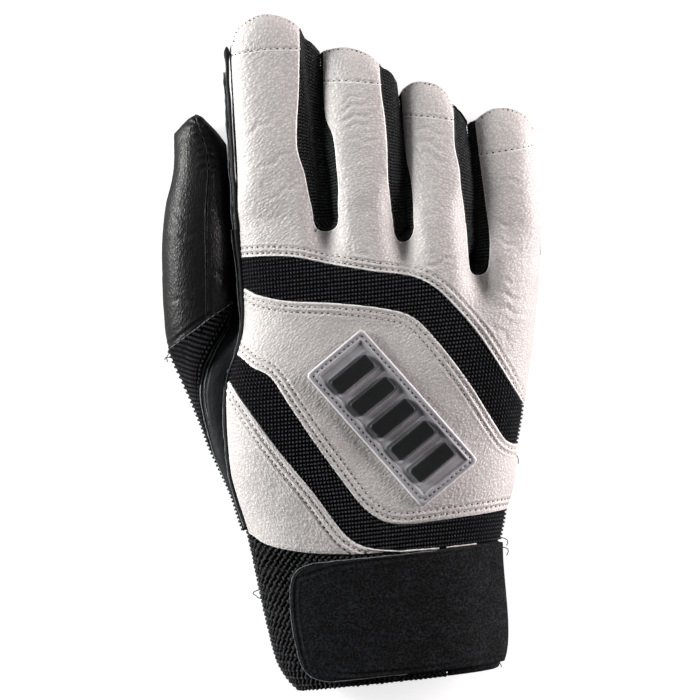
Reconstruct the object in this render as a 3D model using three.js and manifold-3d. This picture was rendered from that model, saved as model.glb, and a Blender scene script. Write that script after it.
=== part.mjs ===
// A batting glove for the right hand, lying on its palm: sewn leather panels round a hand-shaped hollow,
// stretch webbing across the back, knit walls between the fingers and a wrist strap that peels open.
// Millimetres. +X runs to the little finger, +Y to the fingertips and +Z up through the back of the hand.
// The origin is the middle of the footprint, on the surface that the palm lies on.
import * as THREE from "three";
import { mergeVertices } from "three/addons/utils/BufferGeometryUtils.js";
import Module from "manifold-3d";

// Driving dimensions
const LEATHER = 1.2; // thickness of every leather panel
const WEBBING = 1.1; // thickness of the stretch bands and the knit finger walls
const BAND_RECESS = 0.6; // how far the bands lie below the leather
const CUFF_THICKNESS = 2.2;
const STRAP_THICKNESS = 1.8;
const SEAM_GAP = 0.35; // free space between two pieces that are sewn edge to edge
const PATCH_THICKNESS = 1.0; // each half of the hook and loop fastener
const HEEL_Y = -113; // open end of the cuff
const CUFF_TOP_Y = -70.5; // where the strap ends and the back of the hand starts
const FRONT_TOP_Y = -64; // where the palm leather meets the cuff
const BACK_EDGE_TURN = -75; // the back panels end here on the thumb side
const WRAP_TURN = 105; // and here on the little-finger side, below the widest line
const PALM_SEAM_TURN = 135; // where the palm leather meets the knit walls of a finger
const SQUARE_TOP = 0.8; // exponent of the oval sections: 1 is an ellipse, less is squarer
const SQUARE_BOTTOM = 0.55;
const GROUND_FLAT = 0.3; // the underside is pressed flat below this height
const SPLAY_PIVOT = [-65.2, 3.6]; // outer end of the thumb's base seam
const THUMB_SEAM_ANGLE = 31; // the base seam's slope, in degrees

const { lerp, smoothstep, degToRad, radToDeg, clamp } = THREE.MathUtils;
const wasm = await Module();
wasm.setup();

// Curves and solids

// A smooth value along one axis, through [position, value] pairs in rising order.
function profile(pairs) {
  const slope = pairs.map((p, i) => {
    const before = pairs[Math.max(i - 1, 0)];
    const after = pairs[Math.min(i + 1, pairs.length - 1)];
    return (after[1] - before[1]) / (after[0] - before[0]);
  });
  return (at) => {
    const here = clamp(at, pairs[0][0], pairs[pairs.length - 1][0]);
    const i = clamp(pairs.findIndex((p) => p[0] > here) - 1, -1, pairs.length - 2);
    const k = i < 0 ? pairs.length - 2 : i;
    const span = pairs[k + 1][0] - pairs[k][0];
    const t = (here - pairs[k][0]) / span;
    const start = (2 * t ** 3 - 3 * t ** 2 + 1) * pairs[k][1] + (t ** 3 - 2 * t ** 2 + t) * span * slope[k];
    const end = (3 * t ** 2 - 2 * t ** 3) * pairs[k + 1][1] + (t ** 3 - t ** 2) * span * slope[k + 1];
    return start + end;
  };
}

// A closed sheet between a face and a back, each a function of row and column that gives a point.
function sheet(rows, columns, face, back) {
  const corners = [];
  for (const side of [face, back])
    for (let r = 0; r <= rows; r++)
      for (let c = 0; c <= columns; c++) corners.push(side(r / rows, c / columns));
  const at = (side, r, c) => side * (rows + 1) * (columns + 1) + r * (columns + 1) + c;
  const faces = [];
  const quad = (a, b, c, d) => faces.push(a, b, c, a, c, d);
  for (let r = 0; r < rows; r++)
    for (let c = 0; c < columns; c++) {
      quad(at(0, r, c), at(0, r, c + 1), at(0, r + 1, c + 1), at(0, r + 1, c));
      quad(at(1, r, c), at(1, r + 1, c), at(1, r + 1, c + 1), at(1, r, c + 1));
    }
  for (let c = 0; c < columns; c++) {
    quad(at(0, 0, c), at(1, 0, c), at(1, 0, c + 1), at(0, 0, c + 1));
    quad(at(0, rows, c), at(0, rows, c + 1), at(1, rows, c + 1), at(1, rows, c));
  }
  for (let r = 0; r < rows; r++) {
    quad(at(0, r, 0), at(0, r + 1, 0), at(1, r + 1, 0), at(1, r, 0));
    quad(at(0, r, columns), at(1, r, columns), at(1, r + 1, columns), at(0, r + 1, columns));
  }
  const volume = (i) => corners[faces[i]].dot(corners[faces[i + 1]].clone().cross(corners[faces[i + 2]]));
  let sum = 0;
  for (let i = 0; i < faces.length; i += 3) sum += volume(i);
  if (sum < 0) faces.reverse();
  return new THREE.BufferGeometry().setFromPoints(corners).setIndex(faces);
}

// The same face moved along its normal, which is the direction of its rows crossed with that of its columns.
function offsetFace(face, distance) {
  const step = 0.004;
  return (r, c) => {
    const along = face(Math.min(r + step, 1), c).sub(face(Math.max(r - step, 0), c));
    const across = face(r, Math.min(c + step, 1)).sub(face(r, Math.max(c - step, 0)));
    return face(r, c).addScaledVector(along.cross(across).normalize(), distance);
  };
}

// A closed geometry as a solid that can be joined and cut, and back again.
function solid(geometry) {
  const bare = new THREE.BufferGeometry().setAttribute("position", geometry.getAttribute("position"));
  if (geometry.index) bare.setIndex(geometry.index);
  const merged = mergeVertices(bare, 1e-4);
  return new wasm.Manifold(
    new wasm.Mesh({
      numProp: 3,
      vertProperties: merged.attributes.position.array,
      triVerts: new Uint32Array(merged.index.array),
    }),
  );
}
function geometryOf(body) {
  const { vertProperties, triVerts } = body.getMesh();
  return new THREE.BufferGeometry()
    .setAttribute("position", new THREE.BufferAttribute(vertProperties, 3))
    .setIndex(new THREE.BufferAttribute(triVerts, 1));
}

// A smooth line through plan points, as short straight steps.
function smooth(points, steps = 2) {
  const curve = new THREE.SplineCurve(points.map(([x, y]) => new THREE.Vector2(x, y)));
  return curve.getPoints((points.length - 1) * steps);
}
// A tall prism over a plan outline, which cuts a panel out of a shell. Runs are smooth, and meet at corners.
function prism(...runs) {
  const straight = (run) => run.map(([x, y]) => new THREE.Vector2(x, y));
  const outline = runs.flatMap((run) => (run.length > 2 ? smooth(run) : straight(run)));
  const column = new THREE.ExtrudeGeometry(new THREE.Shape(outline), { depth: 80, bevelEnabled: false });
  return solid(column.translate(0, 0, -20));
}
const shifted = (points, dx, dy) => points.map(([x, y]) => [x + dx, y + dy]);
const backwards = (points) => [...points].reverse();

// The hand-shaped form that the panels lie on

const power = (value, exponent) => Math.sign(value) * Math.abs(value) ** exponent;

// A point on an oval section. turn is 0 at the top, 90 on the right and 180 underneath, in degrees.
function ovalPoint(section, turn, inset) {
  const { left, right, crest, ground, waist, square = [SQUARE_TOP, SQUARE_BOTTOM] } = section;
  const across = Math.sin(degToRad(turn));
  const up = Math.cos(degToRad(turn));
  const exponent = up >= 0 ? square[0] : square[1];
  const height = up >= 0 ? crest - waist : waist - ground;
  return {
    x: (left + right) / 2 + ((right - left) / 2 - inset) * power(across, exponent),
    z: waist + (height - inset) * power(up, exponent),
  };
}
// The turn at which the top of a section lies over a plan x.
function turnAt(section, x) {
  const share = (x - (section.left + section.right) / 2) / ((section.right - section.left) / 2);
  return radToDeg(Math.asin(power(clamp(share, -0.999, 0.999), 1 / SQUARE_TOP)));
}

const handLeft = profile([
  [-113, -33.5], [-110, -36], [-104, -39.2], [-92, -41.4], [-72, -43.6], [-60, -45], [-46, -48],
  [-37, -49.2], [-16, -48.4], [-7, -46.6], [0, -43.2], [8, -40.2], [18, -38.8], [44, -37.8],
]);
const handRight = profile([
  [-113, 34.4], [-107, 37], [-98, 38.4], [-72, 39.4], [-61, 42.3], [-52, 46], [-39, 48.4], [-21, 53.3],
  [-7, 56.8], [5, 59.4], [15, 61.3], [33, 63.8], [44, 64.2],
]);
const handCrest = profile([
  [-113, 31], [-90, 32.5], [-70, 33.5], [-40, 34.5], [-10, 34], [15, 32], [30, 30], [44, 28],
]);
const rootLine = profile([[-40, 42], [6, 42], [18, 39], [30, 34], [42, 28], [54, 23.5], [66, 22]]);
const PALM_RISE = 8.5; // the underside leaves the ground towards the finger roots
const CROTCHES = [[-7.5, 38.3], [17.3, 32], [41, 18.4]];
const VALLEY = { depth: 5, reach: 17, width: 5 };

// The dip in the back between two fingers, just before they part.
function valley(x, y) {
  const { depth, reach, width } = VALLEY;
  return CROTCHES.reduce(
    (sum, [cx, cy]) => sum + depth * smoothstep(y, cy - reach, cy + 2) * Math.exp(-(((x - cx) / width) ** 2)),
    0,
  );
}
function handSection(y) {
  return { left: handLeft(y), right: handRight(y), crest: handCrest(y), ground: 0, waist: 14.5 };
}
function handPoint(y, turn, inset) {
  const { x, z } = ovalPoint(handSection(y), turn, inset);
  const under = Math.abs(turn) > 90;
  const rise = PALM_RISE * smoothstep(y, rootLine(x) - 30, rootLine(x) + 2);
  if (!under) return new THREE.Vector3(x, y, z - valley(x, y));
  const lifted = Math.max(z, inset + GROUND_FLAT) - GROUND_FLAT * (1 - rise / PALM_RISE);
  return new THREE.Vector3(x, y, lerp(lifted, 14.5, rise / 14.5));
}
// A shell on the hand between two insets, over a range of y and turn.
function handShell({ y, turn, inset, rows, columns }) {
  const place = (depth) => (r, c) => handPoint(lerp(y[0], y[1], r), lerp(turn[0], turn[1], c), depth);
  return solid(sheet(rows, columns, place(inset[0]), place(inset[1])));
}

// Plan outlines on the back of the hand

const FAR_LEFT = -70;
const FAR_RIGHT = 85;
const upperBandTop = [
  [FAR_LEFT, 32.6], [-37.6, 32.4], [-20.7, 30.9], [-8.3, 27.3], [6.3, 23.1], [19, 20.2], [26.5, 15.4],
  [33.4, 7], [39.1, -1.5], [44.6, -12], [51.8, -26], [60, -38],
];
const upperBandBottom = [
  [FAR_LEFT, 23], [-38.8, 22.6], [-32.6, 19.4], [-23.5, 16.5], [-7.3, 14], [9.4, 10.3], [18, 6.6],
  [24.6, -1.3], [34.2, -16.9], [41.8, -32.3], [44.6, -37.2], [48.5, -39], [60, -39.6],
];
const lowerBandTop = [
  [FAR_LEFT, 3], [-42.5, 0.6], [-37.1, -4.2], [-31.2, -8.4], [-25.8, -18.5], [-18.8, -31.6], [-9.9, -46.8],
  [-5.4, -53.9], [0.6, -59.3], [7.5, -61.3], [20.8, -61.2], [41.4, -60.4], [60, -58.5],
];
const lowerBandBottom = [
  [FAR_LEFT, -4.5], [-47, -6.6], [-41.3, -15.5], [-32.2, -30.9], [-20.6, -48.5], [-12.9, -61.4],
  [-8, -66.2], [0, -68.9], [12, CUFF_TOP_Y + 0.6],
];
const heelSeam = [
  [FAR_LEFT, -58], [-44.5, -59.2], [-39.2, -63], [-32.2, -65.7], [-22, -68], [-10.1, -69.4], [0, -69.6],
];
function shellOfBack(inset, thickness) {
  const turn = [BACK_EDGE_TURN, WRAP_TURN];
  return handShell({ y: [-71, 44], turn, inset: [inset, inset + thickness], rows: 24, columns: 16 });
}

function backPanels() {
  const leather = shellOfBack(0, LEATHER);
  const webbing = shellOfBack(BAND_RECESS, WEBBING);
  const end = FAR_RIGHT;
  const above = (seam) => shifted(seam, 0, SEAM_GAP / 2);
  const below = (seam) => backwards(shifted(seam, 0, -SEAM_GAP / 2));
  const aboveBand = prism(above(upperBandTop), [[end, -38], [end, 60]], [[FAR_LEFT, 60]]);
  const knuckles = aboveBand.subtract(fingerZone());
  const upper = prism(above(upperBandBottom), [[end, -39.6], [end, -38.4]], below(upperBandTop));
  const middle = prism(above(lowerBandTop), [[end, -58.5], [end, -40]], below(upperBandBottom));
  const lower = prism(above(lowerBandBottom), [[end, CUFF_TOP_Y + 0.6], [end, -58.7]], below(lowerBandTop));
  const corner = prism(above(heelSeam), [[0.1, -69.3], [0.2, -69.2]], below(lowerBandBottom.slice(0, -1)));
  const notches = CROTCHES.map((_, i) => notchColumn(i, 0));
  return {
    knuckle_panel: notches.reduce((panel, notch) => panel.subtract(notch), leather.intersect(knuckles)),
    upper_stretch_band: webbing.intersect(upper),
    centre_panel: leather.intersect(middle),
    lower_stretch_band: webbing.intersect(lower),
    corner_panel: leather.intersect(corner),
  };
}

// Between the fingers

const NOTCH_HALF = [3.9, 2.9, 3.2]; // half the width of each notch at its mouth

// A column with a rounded bottom edge in plan, from the bottom of a notch towards the fingertips.
function notchColumn(i, inset) {
  const [x, y] = CROTCHES[i];
  const half = NOTCH_HALF[i] - inset;
  const low = y + inset;
  const bend = [[-half, 2.9], [-half * 0.7, 0.9], [0, 0], [half * 0.7, 0.9], [half, 2.9]];
  return prism(shifted(bend, x, low), [[x + half, 60], [x - half, 60]]);
}
// Everything beyond the finger roots, where the hand's own panels stop.
function fingerZone() {
  const [index, ring, little] = [FINGERS.index.root, FINGERS.ring.root, FINGERS.little.root];
  const line = [
    [FAR_RIGHT, little], [41.4, little], [41.4, ring], [18.4, ring], [18.4, index], [FAR_LEFT, index],
  ];
  return prism(...line.map((point) => shifted([point], 0, -0.4)), [[FAR_LEFT, 90]], [[FAR_RIGHT, 90]]);
}
// The knit wall round the bottom of a notch, standing between the palm and the back.
function crotchWall(i) {
  const wall = notchColumn(i, 0.5).subtract(notchColumn(i, 0.5 + WEBBING));
  const slab = solid(new THREE.BoxGeometry(30, 30, 11).translate(...CROTCHES[i], 16.2));
  return wall.intersect(slab).subtract(fingerZone());
}

// Fingers and thumb: sleeves with a domed tip

// left, right, crest and ground are a sleeve's four sides along y. rim is the outline of its tip in plan,
// as y over x, and the dome draws the section in over its last stretch before the rim. capSeam is where the
// tip cap starts. leatherLeft and leatherRight are where the back leather ends and the knit walls start.
const FINGERS = {
  index: {
    root: 42,
    dome: 11,
    capSeam: profile([[-34, 99.2], [-23, 99.9], [-9, 98.9]]),
    rim: profile([
      [-33.9, 100.5], [-33, 104], [-31.9, 107.4], [-30, 109.6], [-27.1, 111.4], [-24, 112.6],
      [-20.5, 112.9], [-16.9, 112.2], [-13.8, 110.8], [-11.3, 109.2], [-9.5, 107], [-8.3, 103.4],
      [-6.2, 101.5], [-3.6, 98],
    ]),
    left: profile([[42, -37.9], [52, -36.4], [68, -35.2], [85, -34.5], [98, -33.9], [106, -33.2]]),
    right: profile([[42, -5.6], [57, -5.7], [69, -6.3], [77, -5.8], [86, -5.1], [98, -3.9], [106, -4.5]]),
    leatherLeft: null,
    leatherRight: profile([
      [42, -11.4], [49, -12.4], [57, -12.6], [66, -14.3], [74, -13.7], [86, -11.8], [106, -9.4],
    ]),
    crest: profile([[42, 26.2], [60, 24.2], [80, 21.2], [95, 18.5], [103, 17.2], [113, 16.4]]),
    ground: profile([[42, 8.5], [60, 6.4], [80, 3], [95, 0.6], [103, 0]]),
  },
  middle: {
    root: 42,
    dome: 10,
    capSeam: profile([[-4, 87.5], [5, 86.5], [16, 84.3]]),
    rim: profile([
      [-4, 96.4], [-3.1, 97.9], [-0.6, 98.9], [3.7, 99.2], [7.8, 98.3], [10.9, 96.9], [13.4, 95.2],
      [15.4, 92.9], [16.6, 90.7], [18.1, 89.8], [19.6, 88.2], [20.9, 85],
    ]),
    left: profile([[42, -5.1], [57, -5.2], [69, -5.8], [77, -5.3], [86, -4.6], [98, -3.4]]),
    right: profile([[42, 18.7], [53, 19.4], [66, 20.2], [75, 20.7], [84, 20.8], [92, 20.6]]),
    leatherLeft: profile([[42, -3.4], [48, -2.2], [57, -2.3], [69, -2.4], [77, -4.2], [97, -2.9]]),
    leatherRight: profile([[42, 14.7], [53, 14.7], [65, 15.6], [74, 15.8], [83, 15.5], [93, 16]]),
    crest: profile([[42, 28.2], [60, 25.6], [80, 21], [91, 18], [99, 17]]),
    ground: profile([[42, 8.5], [60, 7], [80, 2.2], [91, 0]]),
  },
  ring: {
    root: 36,
    dome: 10,
    capSeam: profile([[21, 73.6], [30, 71.9], [39, 69.8]]),
    rim: profile([
      [21.2, 80.5], [22.8, 82.9], [25.1, 84.5], [27.7, 85.1], [30.7, 84.7], [33.7, 83.6], [36.1, 81.8],
      [37.6, 79.7], [38.5, 77.2], [39.3, 74.2], [40.7, 72.4], [42.2, 69.6],
    ]),
    left: profile([[36, 19.3], [53, 20.1], [66, 20.8], [75, 21.2], [81, 21.3]]),
    right: profile([[36, 41.3], [50, 42.1], [60, 42.3], [70, 42.3], [77, 41.6]]),
    leatherLeft: profile([[36, 21.2], [42, 22], [53, 21.8], [60, 21.2], [80, 21.8]]),
    leatherRight: profile([[36, 38.8], [47, 38.5], [54, 38.7], [62, 38], [74, 38.9], [78, 38.6]]),
    crest: profile([[36, 27.6], [50, 25.6], [65, 21.5], [77, 17.8], [85, 16.6]]),
    ground: profile([[36, 8], [50, 6.6], [65, 2], [77, 0]]),
  },
  little: {
    root: 23,
    dome: 10,
    capSeam: profile([[44, 57.5], [53, 57.8], [65, 58.8]]),
    rim: profile([
      [42.8, 68.4], [44, 69.5], [45.3, 69.9], [47.2, 71.2], [49.4, 72.5], [52.1, 73.4], [55.2, 73.4],
      [58.2, 72.8], [61.1, 71.3], [63, 69.7], [64.4, 67.6], [65, 65.5],
    ]),
    left: profile([[23, 41.8], [30, 41.9], [45, 42.7], [60, 42.9], [70, 43.2]]),
    right: profile([[23, 63.2], [33, 64], [41, 64.2], [51, 64.3], [60, 64.6], [69, 65]]),
    leatherLeft: profile([[23, 45], [29, 45.9], [43, 45.8], [58, 45.5], [70, 45.4]]),
    leatherRight: null,
    crest: profile([[23, 24.6], [40, 22.6], [55, 19.2], [66, 16.4], [74, 15.6]]),
    ground: profile([[23, 7.2], [40, 5.6], [55, 1.8], [66, 0]]),
  },
};
const OUTER_SEAM_TURN = { left: 75, right: 103 }; // back to palm leather, on the index and the little finger
const DOME_LAST = 89; // the dome's last ring, just short of the rim, in degrees
const DOME_SQUARE = 0.5; // exponent of the dome: 1 is round, less is blunter

function sleeveSection(finger, y) {
  const [crest, ground] = [finger.crest(y), finger.ground(y)];
  const waist = lerp(ground, crest, 0.46);
  const square = finger.square ?? [SQUARE_TOP, 0.7];
  return { left: finger.left(y), right: finger.right(y), crest, ground, waist, square };
}
function sleevePoint(finger, y, turn, inset) {
  const section = sleeveSection(finger, y);
  const { x, z } = ovalPoint(section, turn, inset);
  const over = clamp(1 - (finger.rim(x) - inset - y) / finger.dome, 0, 1);
  const shrink = (1 - over ** 2) ** (DOME_SQUARE / 2);
  return new THREE.Vector3(x, y, lerp(section.waist, Math.max(z, inset), shrink));
}
// Shares of the way to the rim: even ones up to the dome, then rings round the dome.
function climb(straight, domed, domeShare) {
  const even = Array.from({ length: straight + 1 }, (_, k) => ((1 - domeShare) * k) / Math.max(straight, 1));
  const ring = (k) => 1 - domeShare * (1 - Math.sin(degToRad((DOME_LAST * k) / domed)));
  return even.concat(Array.from({ length: domed }, (_, k) => ring(k + 1)));
}
// A strip of a sleeve between two lines and two seams. low and high give y over x, from and to a turn over y.
function sleeveStrip(finger, { low, high, shares, from, to, thickness, columns }) {
  const pick = (inset) => (r, c) => {
    const share = shares[Math.round(r * (shares.length - 1))];
    let y = low(0, inset);
    for (let k = 0; k < 40; k++) {
      const { x } = ovalPoint(sleeveSection(finger, y), lerp(from(y), to(y), c), inset);
      y = lerp(y, lerp(low(x, inset), high(x, inset), share), 0.5);
    }
    return sleevePoint(finger, y, lerp(from(y), to(y), c), inset);
  };
  return sheet(shares.length - 1, columns, pick(0), pick(thickness));
}

// The four seams of a finger, as turns over y.
function seams(finger) {
  const outer = (side) => side * (side < 0 ? OUTER_SEAM_TURN.left : OUTER_SEAM_TURN.right);
  const leather = (edge, side) => (y) => (edge ? turnAt(sleeveSection(finger, y), edge(y)) : outer(side));
  const palm = (edge, side) => () => (edge ? side * PALM_SEAM_TURN : outer(side) + side * SEAM_TURN);
  return {
    backLeft: leather(finger.leatherLeft, -1),
    backRight: leather(finger.leatherRight, 1),
    palmLeft: palm(finger.leatherLeft, -1),
    palmRight: palm(finger.leatherRight, 1),
  };
}
const SEAM_TURN = 3; // the gap between two sewn pieces round a finger, in degrees

function fingerPieces(name) {
  const finger = FINGERS[name];
  const { backLeft, backRight, palmLeft, palmRight } = seams(finger);
  const low = () => finger.root + SEAM_GAP;
  const rim = (x, inset) => finger.rim(x) - inset;
  const domeShare = finger.dome / (finger.rim((finger.left(60) + finger.right(60)) / 2) - finger.root);
  const whole = { low, high: rim, shares: climb(6, 5, domeShare), thickness: LEATHER, columns: 7 };
  const wall = { ...whole, shares: climb(6, 4, domeShare), thickness: WEBBING, columns: 3 };
  const beforeSeam = (x) => finger.capSeam(x) - SEAM_GAP;
  const back = { low, high: beforeSeam, shares: climb(6, 0, 0), from: backLeft, to: backRight };
  const tip = { low: finger.capSeam, high: rim, shares: climb(0, 6, 1), from: backLeft, to: backRight };
  const pieces = {
    [`${name}_back`]: sleeveStrip(finger, { ...whole, ...back }),
    [`${name}_tip`]: sleeveStrip(finger, { ...whole, ...tip }),
    [`${name}_front`]: sleeveStrip(finger, { ...whole, from: palmRight, to: () => 360 + palmLeft() }),
  };
  if (finger.leatherLeft) {
    const between = { from: () => palmLeft() + SEAM_TURN, to: (y) => backLeft(y) - SEAM_TURN };
    pieces[`${name}_wall_thumb_side`] = sleeveStrip(finger, { ...wall, ...between });
  }
  if (finger.leatherRight) {
    const between = { from: (y) => backRight(y) + SEAM_TURN, to: () => palmRight() - SEAM_TURN };
    pieces[`${name}_wall_outer_side`] = sleeveStrip(finger, { ...wall, ...between });
  }
  return pieces;
}

// Thumb

const THUMB = {
  root: 2,
  dome: 12,
  square: [0.9, 0.7],
  rim: profile([
    [-57, 74.8], [-55.3, 76.2], [-53.4, 77.8], [-51.5, 79.4], [-49.3, 80.9], [-47.2, 82], [-45.5, 81.2],
    [-43.8, 79.2], [-42.2, 77.2], [-39.8, 73.8], [-38.2, 71.2], [-37, 69.4],
  ]),
  left: profile([
    [-62, -45.4], [-53, -47], [-44, -49.2], [-27, -54.8], [-13, -59], [-1, -62.8], [8, -64.8], [24, -64.2],
    [41, -62.8], [53, -60.2], [64, -56.6], [76, -55.2],
  ]),
  right: profile([
    [-62, -38], [-44, -41], [-27, -46], [-13, -47.5], [-1, -44], [8, -41.4], [18, -40], [36, -38.9],
    [60, -38.3], [70, -38], [76, -38.4],
  ]),
  crest: profile([
    [-62, 18], [-44, 17.5], [-27, 17.5], [-13, 18.5], [0, 20.5], [15, 22], [40, 21.5], [60, 18.6],
    [74, 15.4],
  ]),
  ground: profile([[-62, 0], [74, 0]]),
};
const THUMB_CREASE_TURN = 8; // the seam that runs down the thumb from its tip
// Everything on the fingertip side of the thumb's base seam, or on the wrist side of it.
function besideBaseSeam(towardsTip, gap) {
  const [x, y] = SPLAY_PIVOT;
  const slab = new THREE.BoxGeometry(140, 160, 90).translate(0, towardsTip ? 80 + gap : -80 - gap, 0);
  return solid(slab.rotateZ(degToRad(THUMB_SEAM_ANGLE)).translate(x, y, 10));
}
function thumbPieces() {
  const tipSide = besideBaseSeam(true, SEAM_GAP / 2);
  const rim = (x, inset) => THUMB.rim(x) - inset;
  const sleeve = { low: () => THUMB.root, high: rim, shares: climb(8, 4, 0.15) };
  const strip = (from, to) => {
    const cut = { ...sleeve, from: () => from, to: () => to, thickness: LEATHER, columns: 9 };
    return geometryOf(solid(sleeveStrip(THUMB, cut)).intersect(tipSide));
  };
  return {
    thumb_outer: strip(THUMB_CREASE_TURN - 178, THUMB_CREASE_TURN - 2),
    thumb_inner: strip(THUMB_CREASE_TURN, THUMB_CREASE_TURN + 180),
  };
}

// The seam between the thumb's knit gusset and the black side strip, along y.
const gussetSeam = {
  x: profile([
    [-58, -45], [-49, -47.4], [-35, -52], [-27, -53.7], [-13, -55.2], [-4, -53.4], [2, -50.2], [8, -46],
    [14, -42.4], [20, -39.9], [30, -38.9], [41, -38.2],
  ]),
  z: profile([
    [-58, 13], [-35, 15.5], [-13, 17.6], [-4, 18.2], [2, 17], [8, 13], [14, 8.6], [20, 6.4], [30, 9.4],
    [41, 12.8],
  ]),
};
const PALM_EDGE_TURN = -150; // where the gusset meets the palm, round the thumb's sleeve

// The gusset's outer face from the palm (c = 0) to the seam (c = 1). It is part of the thumb's sleeve at the
// thumb's base, and becomes the flat side of the wrist.
function gussetPoint(y, c) {
  const seam = new THREE.Vector3(gussetSeam.x(y), y, gussetSeam.z(y));
  const section = sleeveSection(THUMB, y);
  const round = sleevePoint(THUMB, y, lerp(PALM_EDGE_TURN, turnAt(section, seam.x), c), 0);
  const low = new THREE.Vector3(section.left + 2.6, y, 0);
  const middle = new THREE.Vector3(section.left, y, 8.5);
  const pull = middle.multiplyScalar(2).sub(low.clone().add(seam).multiplyScalar(0.5));
  const side = new THREE.QuadraticBezierCurve3(low, pull, seam).getPoint(c);
  return side.lerp(round, smoothstep(y, -30, -2));
}
function gussetPiece() {
  const face = (r, c) => gussetPoint(lerp(-58, 17, r), lerp(0, 0.975, c));
  const knit = sheet(14, 9, face, offsetFace(face, WEBBING));
  return solid(knit).intersect(besideBaseSeam(false, SEAM_GAP / 2));
}

// The black leather between the back panels and the gusset. Past the thumb it is the index finger's side.
function sideStrip() {
  const face = (r, c) => {
    const y = lerp(-57, 41.4, r);
    const top = handPoint(y, BACK_EDGE_TURN - 3.5, 0.4);
    const seam = new THREE.Vector3(gussetSeam.x(y) + 0.4, y, gussetSeam.z(y) + 0.5);
    const bulge = 1.4 * Math.sin(Math.PI * c) * (1 - smoothstep(y, -12, 12));
    return top.lerp(seam, c).add(new THREE.Vector3(-bulge * 0.7, 0, bulge * 0.7));
  };
  return sheet(24, 5, face, offsetFace(face, -LEATHER));
}

// Palm

function palmPanel() {
  const sideTurn = WRAP_TURN + 2;
  const place = (inset) => (r, c) => {
    const y = lerp(FRONT_TOP_Y, 41.6, r);
    if (c <= 0.6) return handPoint(y, lerp(sideTurn, 180, c / 0.6), inset);
    const middle = handPoint(y, 180, inset);
    const edge = gussetPoint(clamp(y, -58, 8), 0).x + WEBBING + 0.7;
    const left = lerp(lerp(-36.5, edge, smoothstep(y, -64, -57)), -38.2, smoothstep(y, 14, 26));
    return new THREE.Vector3(lerp(middle.x, left, (c - 0.6) / 0.4), y, middle.z);
  };
  const whole = solid(sheet(16, 12, place(0), place(LEATHER)));
  const inwards = prism([[-90, -20], [-39.2, -20]], [[-39.2, 60], [-90, 60]]);
  return whole.subtract(besideBaseSeam(true, -SEAM_GAP).intersect(inwards)).subtract(fingerZone());
}

// Cuff and strap

const SLIT_TURNS = [14, 30]; // the opening in the back of the cuff, under the strap
const CUFF_INSET = 0.4;
function cuffPieces() {
  const inset = [CUFF_INSET, CUFF_INSET + CUFF_THICKNESS];
  const part = (turn, topY, columns) => handShell({ y: [HEEL_Y, topY], turn, inset, rows: 6, columns });
  const belowHeelSeam = prism(
    backwards(shifted(heelSeam, 0, -SEAM_GAP / 2)), [[FAR_LEFT, -140], [FAR_RIGHT, -140], [FAR_RIGHT, -69.9]],
  );
  const stripeTop = CUFF_TOP_Y + 0.1;
  return {
    cuff_elastic: part([-140, SLIT_TURNS[0]], -57.5, 16).intersect(belowHeelSeam),
    cuff_outer: part([SLIT_TURNS[1], 118], stripeTop, 9),
    cuff_heel: part([120, 218], FRONT_TOP_Y - SEAM_GAP, 10),
  };
}

const STRAP = { rootTurn: 74, freeTurn: -44, y: [-110.6, -71] };
const LOOP = { turns: [-40, 8], y: [-107, -74] };
const HOOK = { turns: [-38, -6], y: [-105, -76], inset: -2.3 };
const tabOutline = [
  [60, -110.6], [-18, -110.6], [-23.6, -109.4], [-27.4, -105.4], [-28.8, -99], [-29.6, -88], [-29.2, -80],
  [-28, -75], [-25, -71.8], [-20, -70.9], [60, -70.9],
];
// The strap climbs from the cuff onto the fastener.
const aboveCuff = (turn) => -lerp(0.3, 2.6, smoothstep(-turn, -58, -20));

function strapPieces() {
  const [heelEnd, freeEnd] = [tabOutline.slice(1, 5), tabOutline.slice(4, 10)];
  const outline = prism(tabOutline.slice(0, 2), heelEnd, freeEnd, tabOutline.slice(10));
  const place = (outer) => (r, c) => {
    const turn = lerp(STRAP.freeTurn, STRAP.rootTurn, c);
    const inset = aboveCuff(turn) - (outer ? STRAP_THICKNESS : 0);
    return handPoint(lerp(STRAP.y[0] - 1, STRAP.y[1] + 1, r), turn, inset);
  };
  const fastener = (inset, { turns, y }) =>
    handShell({ y, turn: turns, inset: [inset, inset + PATCH_THICKNESS], rows: 4, columns: 5 });
  return {
    loop_patch: fastener(CUFF_INSET - 0.3 - PATCH_THICKNESS, LOOP),
    hook_patch: fastener(HOOK.inset, HOOK),
    wrist_strap: solid(sheet(5, 14, place(true), place(false))).intersect(outline),
  };
}

// Moulded badge: a plain plate with five raised bars

const BADGE = { centre: [7.4, -25.9], turn: -55.5, length: 58, width: 24, corner: 4, thickness: 1.3 };
const BAR = { count: 5, pitch: 9.6, length: 5.6, width: 15, corner: 1.4, thickness: 1.2 };
function roundedPrism(length, width, corner, along) {
  const shape = new THREE.Shape();
  const [l, w, r] = [length / 2, width / 2, corner];
  shape.moveTo(-l + r, -w).lineTo(l - r, -w).absarc(l - r, -w + r, r, -Math.PI / 2, 0);
  shape.lineTo(l, w - r).absarc(l - r, w - r, r, 0, Math.PI / 2);
  shape.lineTo(-l + r, w).absarc(-l + r, w - r, r, Math.PI / 2, Math.PI);
  shape.lineTo(-l, -w + r).absarc(-l + r, -w + r, r, Math.PI, 1.5 * Math.PI);
  const column = new THREE.ExtrudeGeometry(shape, { depth: 60, bevelEnabled: false, curveSegments: 3 });
  const [x, y] = BADGE.centre;
  return solid(column.translate(along, 0, 0).rotateZ(degToRad(BADGE.turn)).translate(x, y, 0));
}
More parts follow.
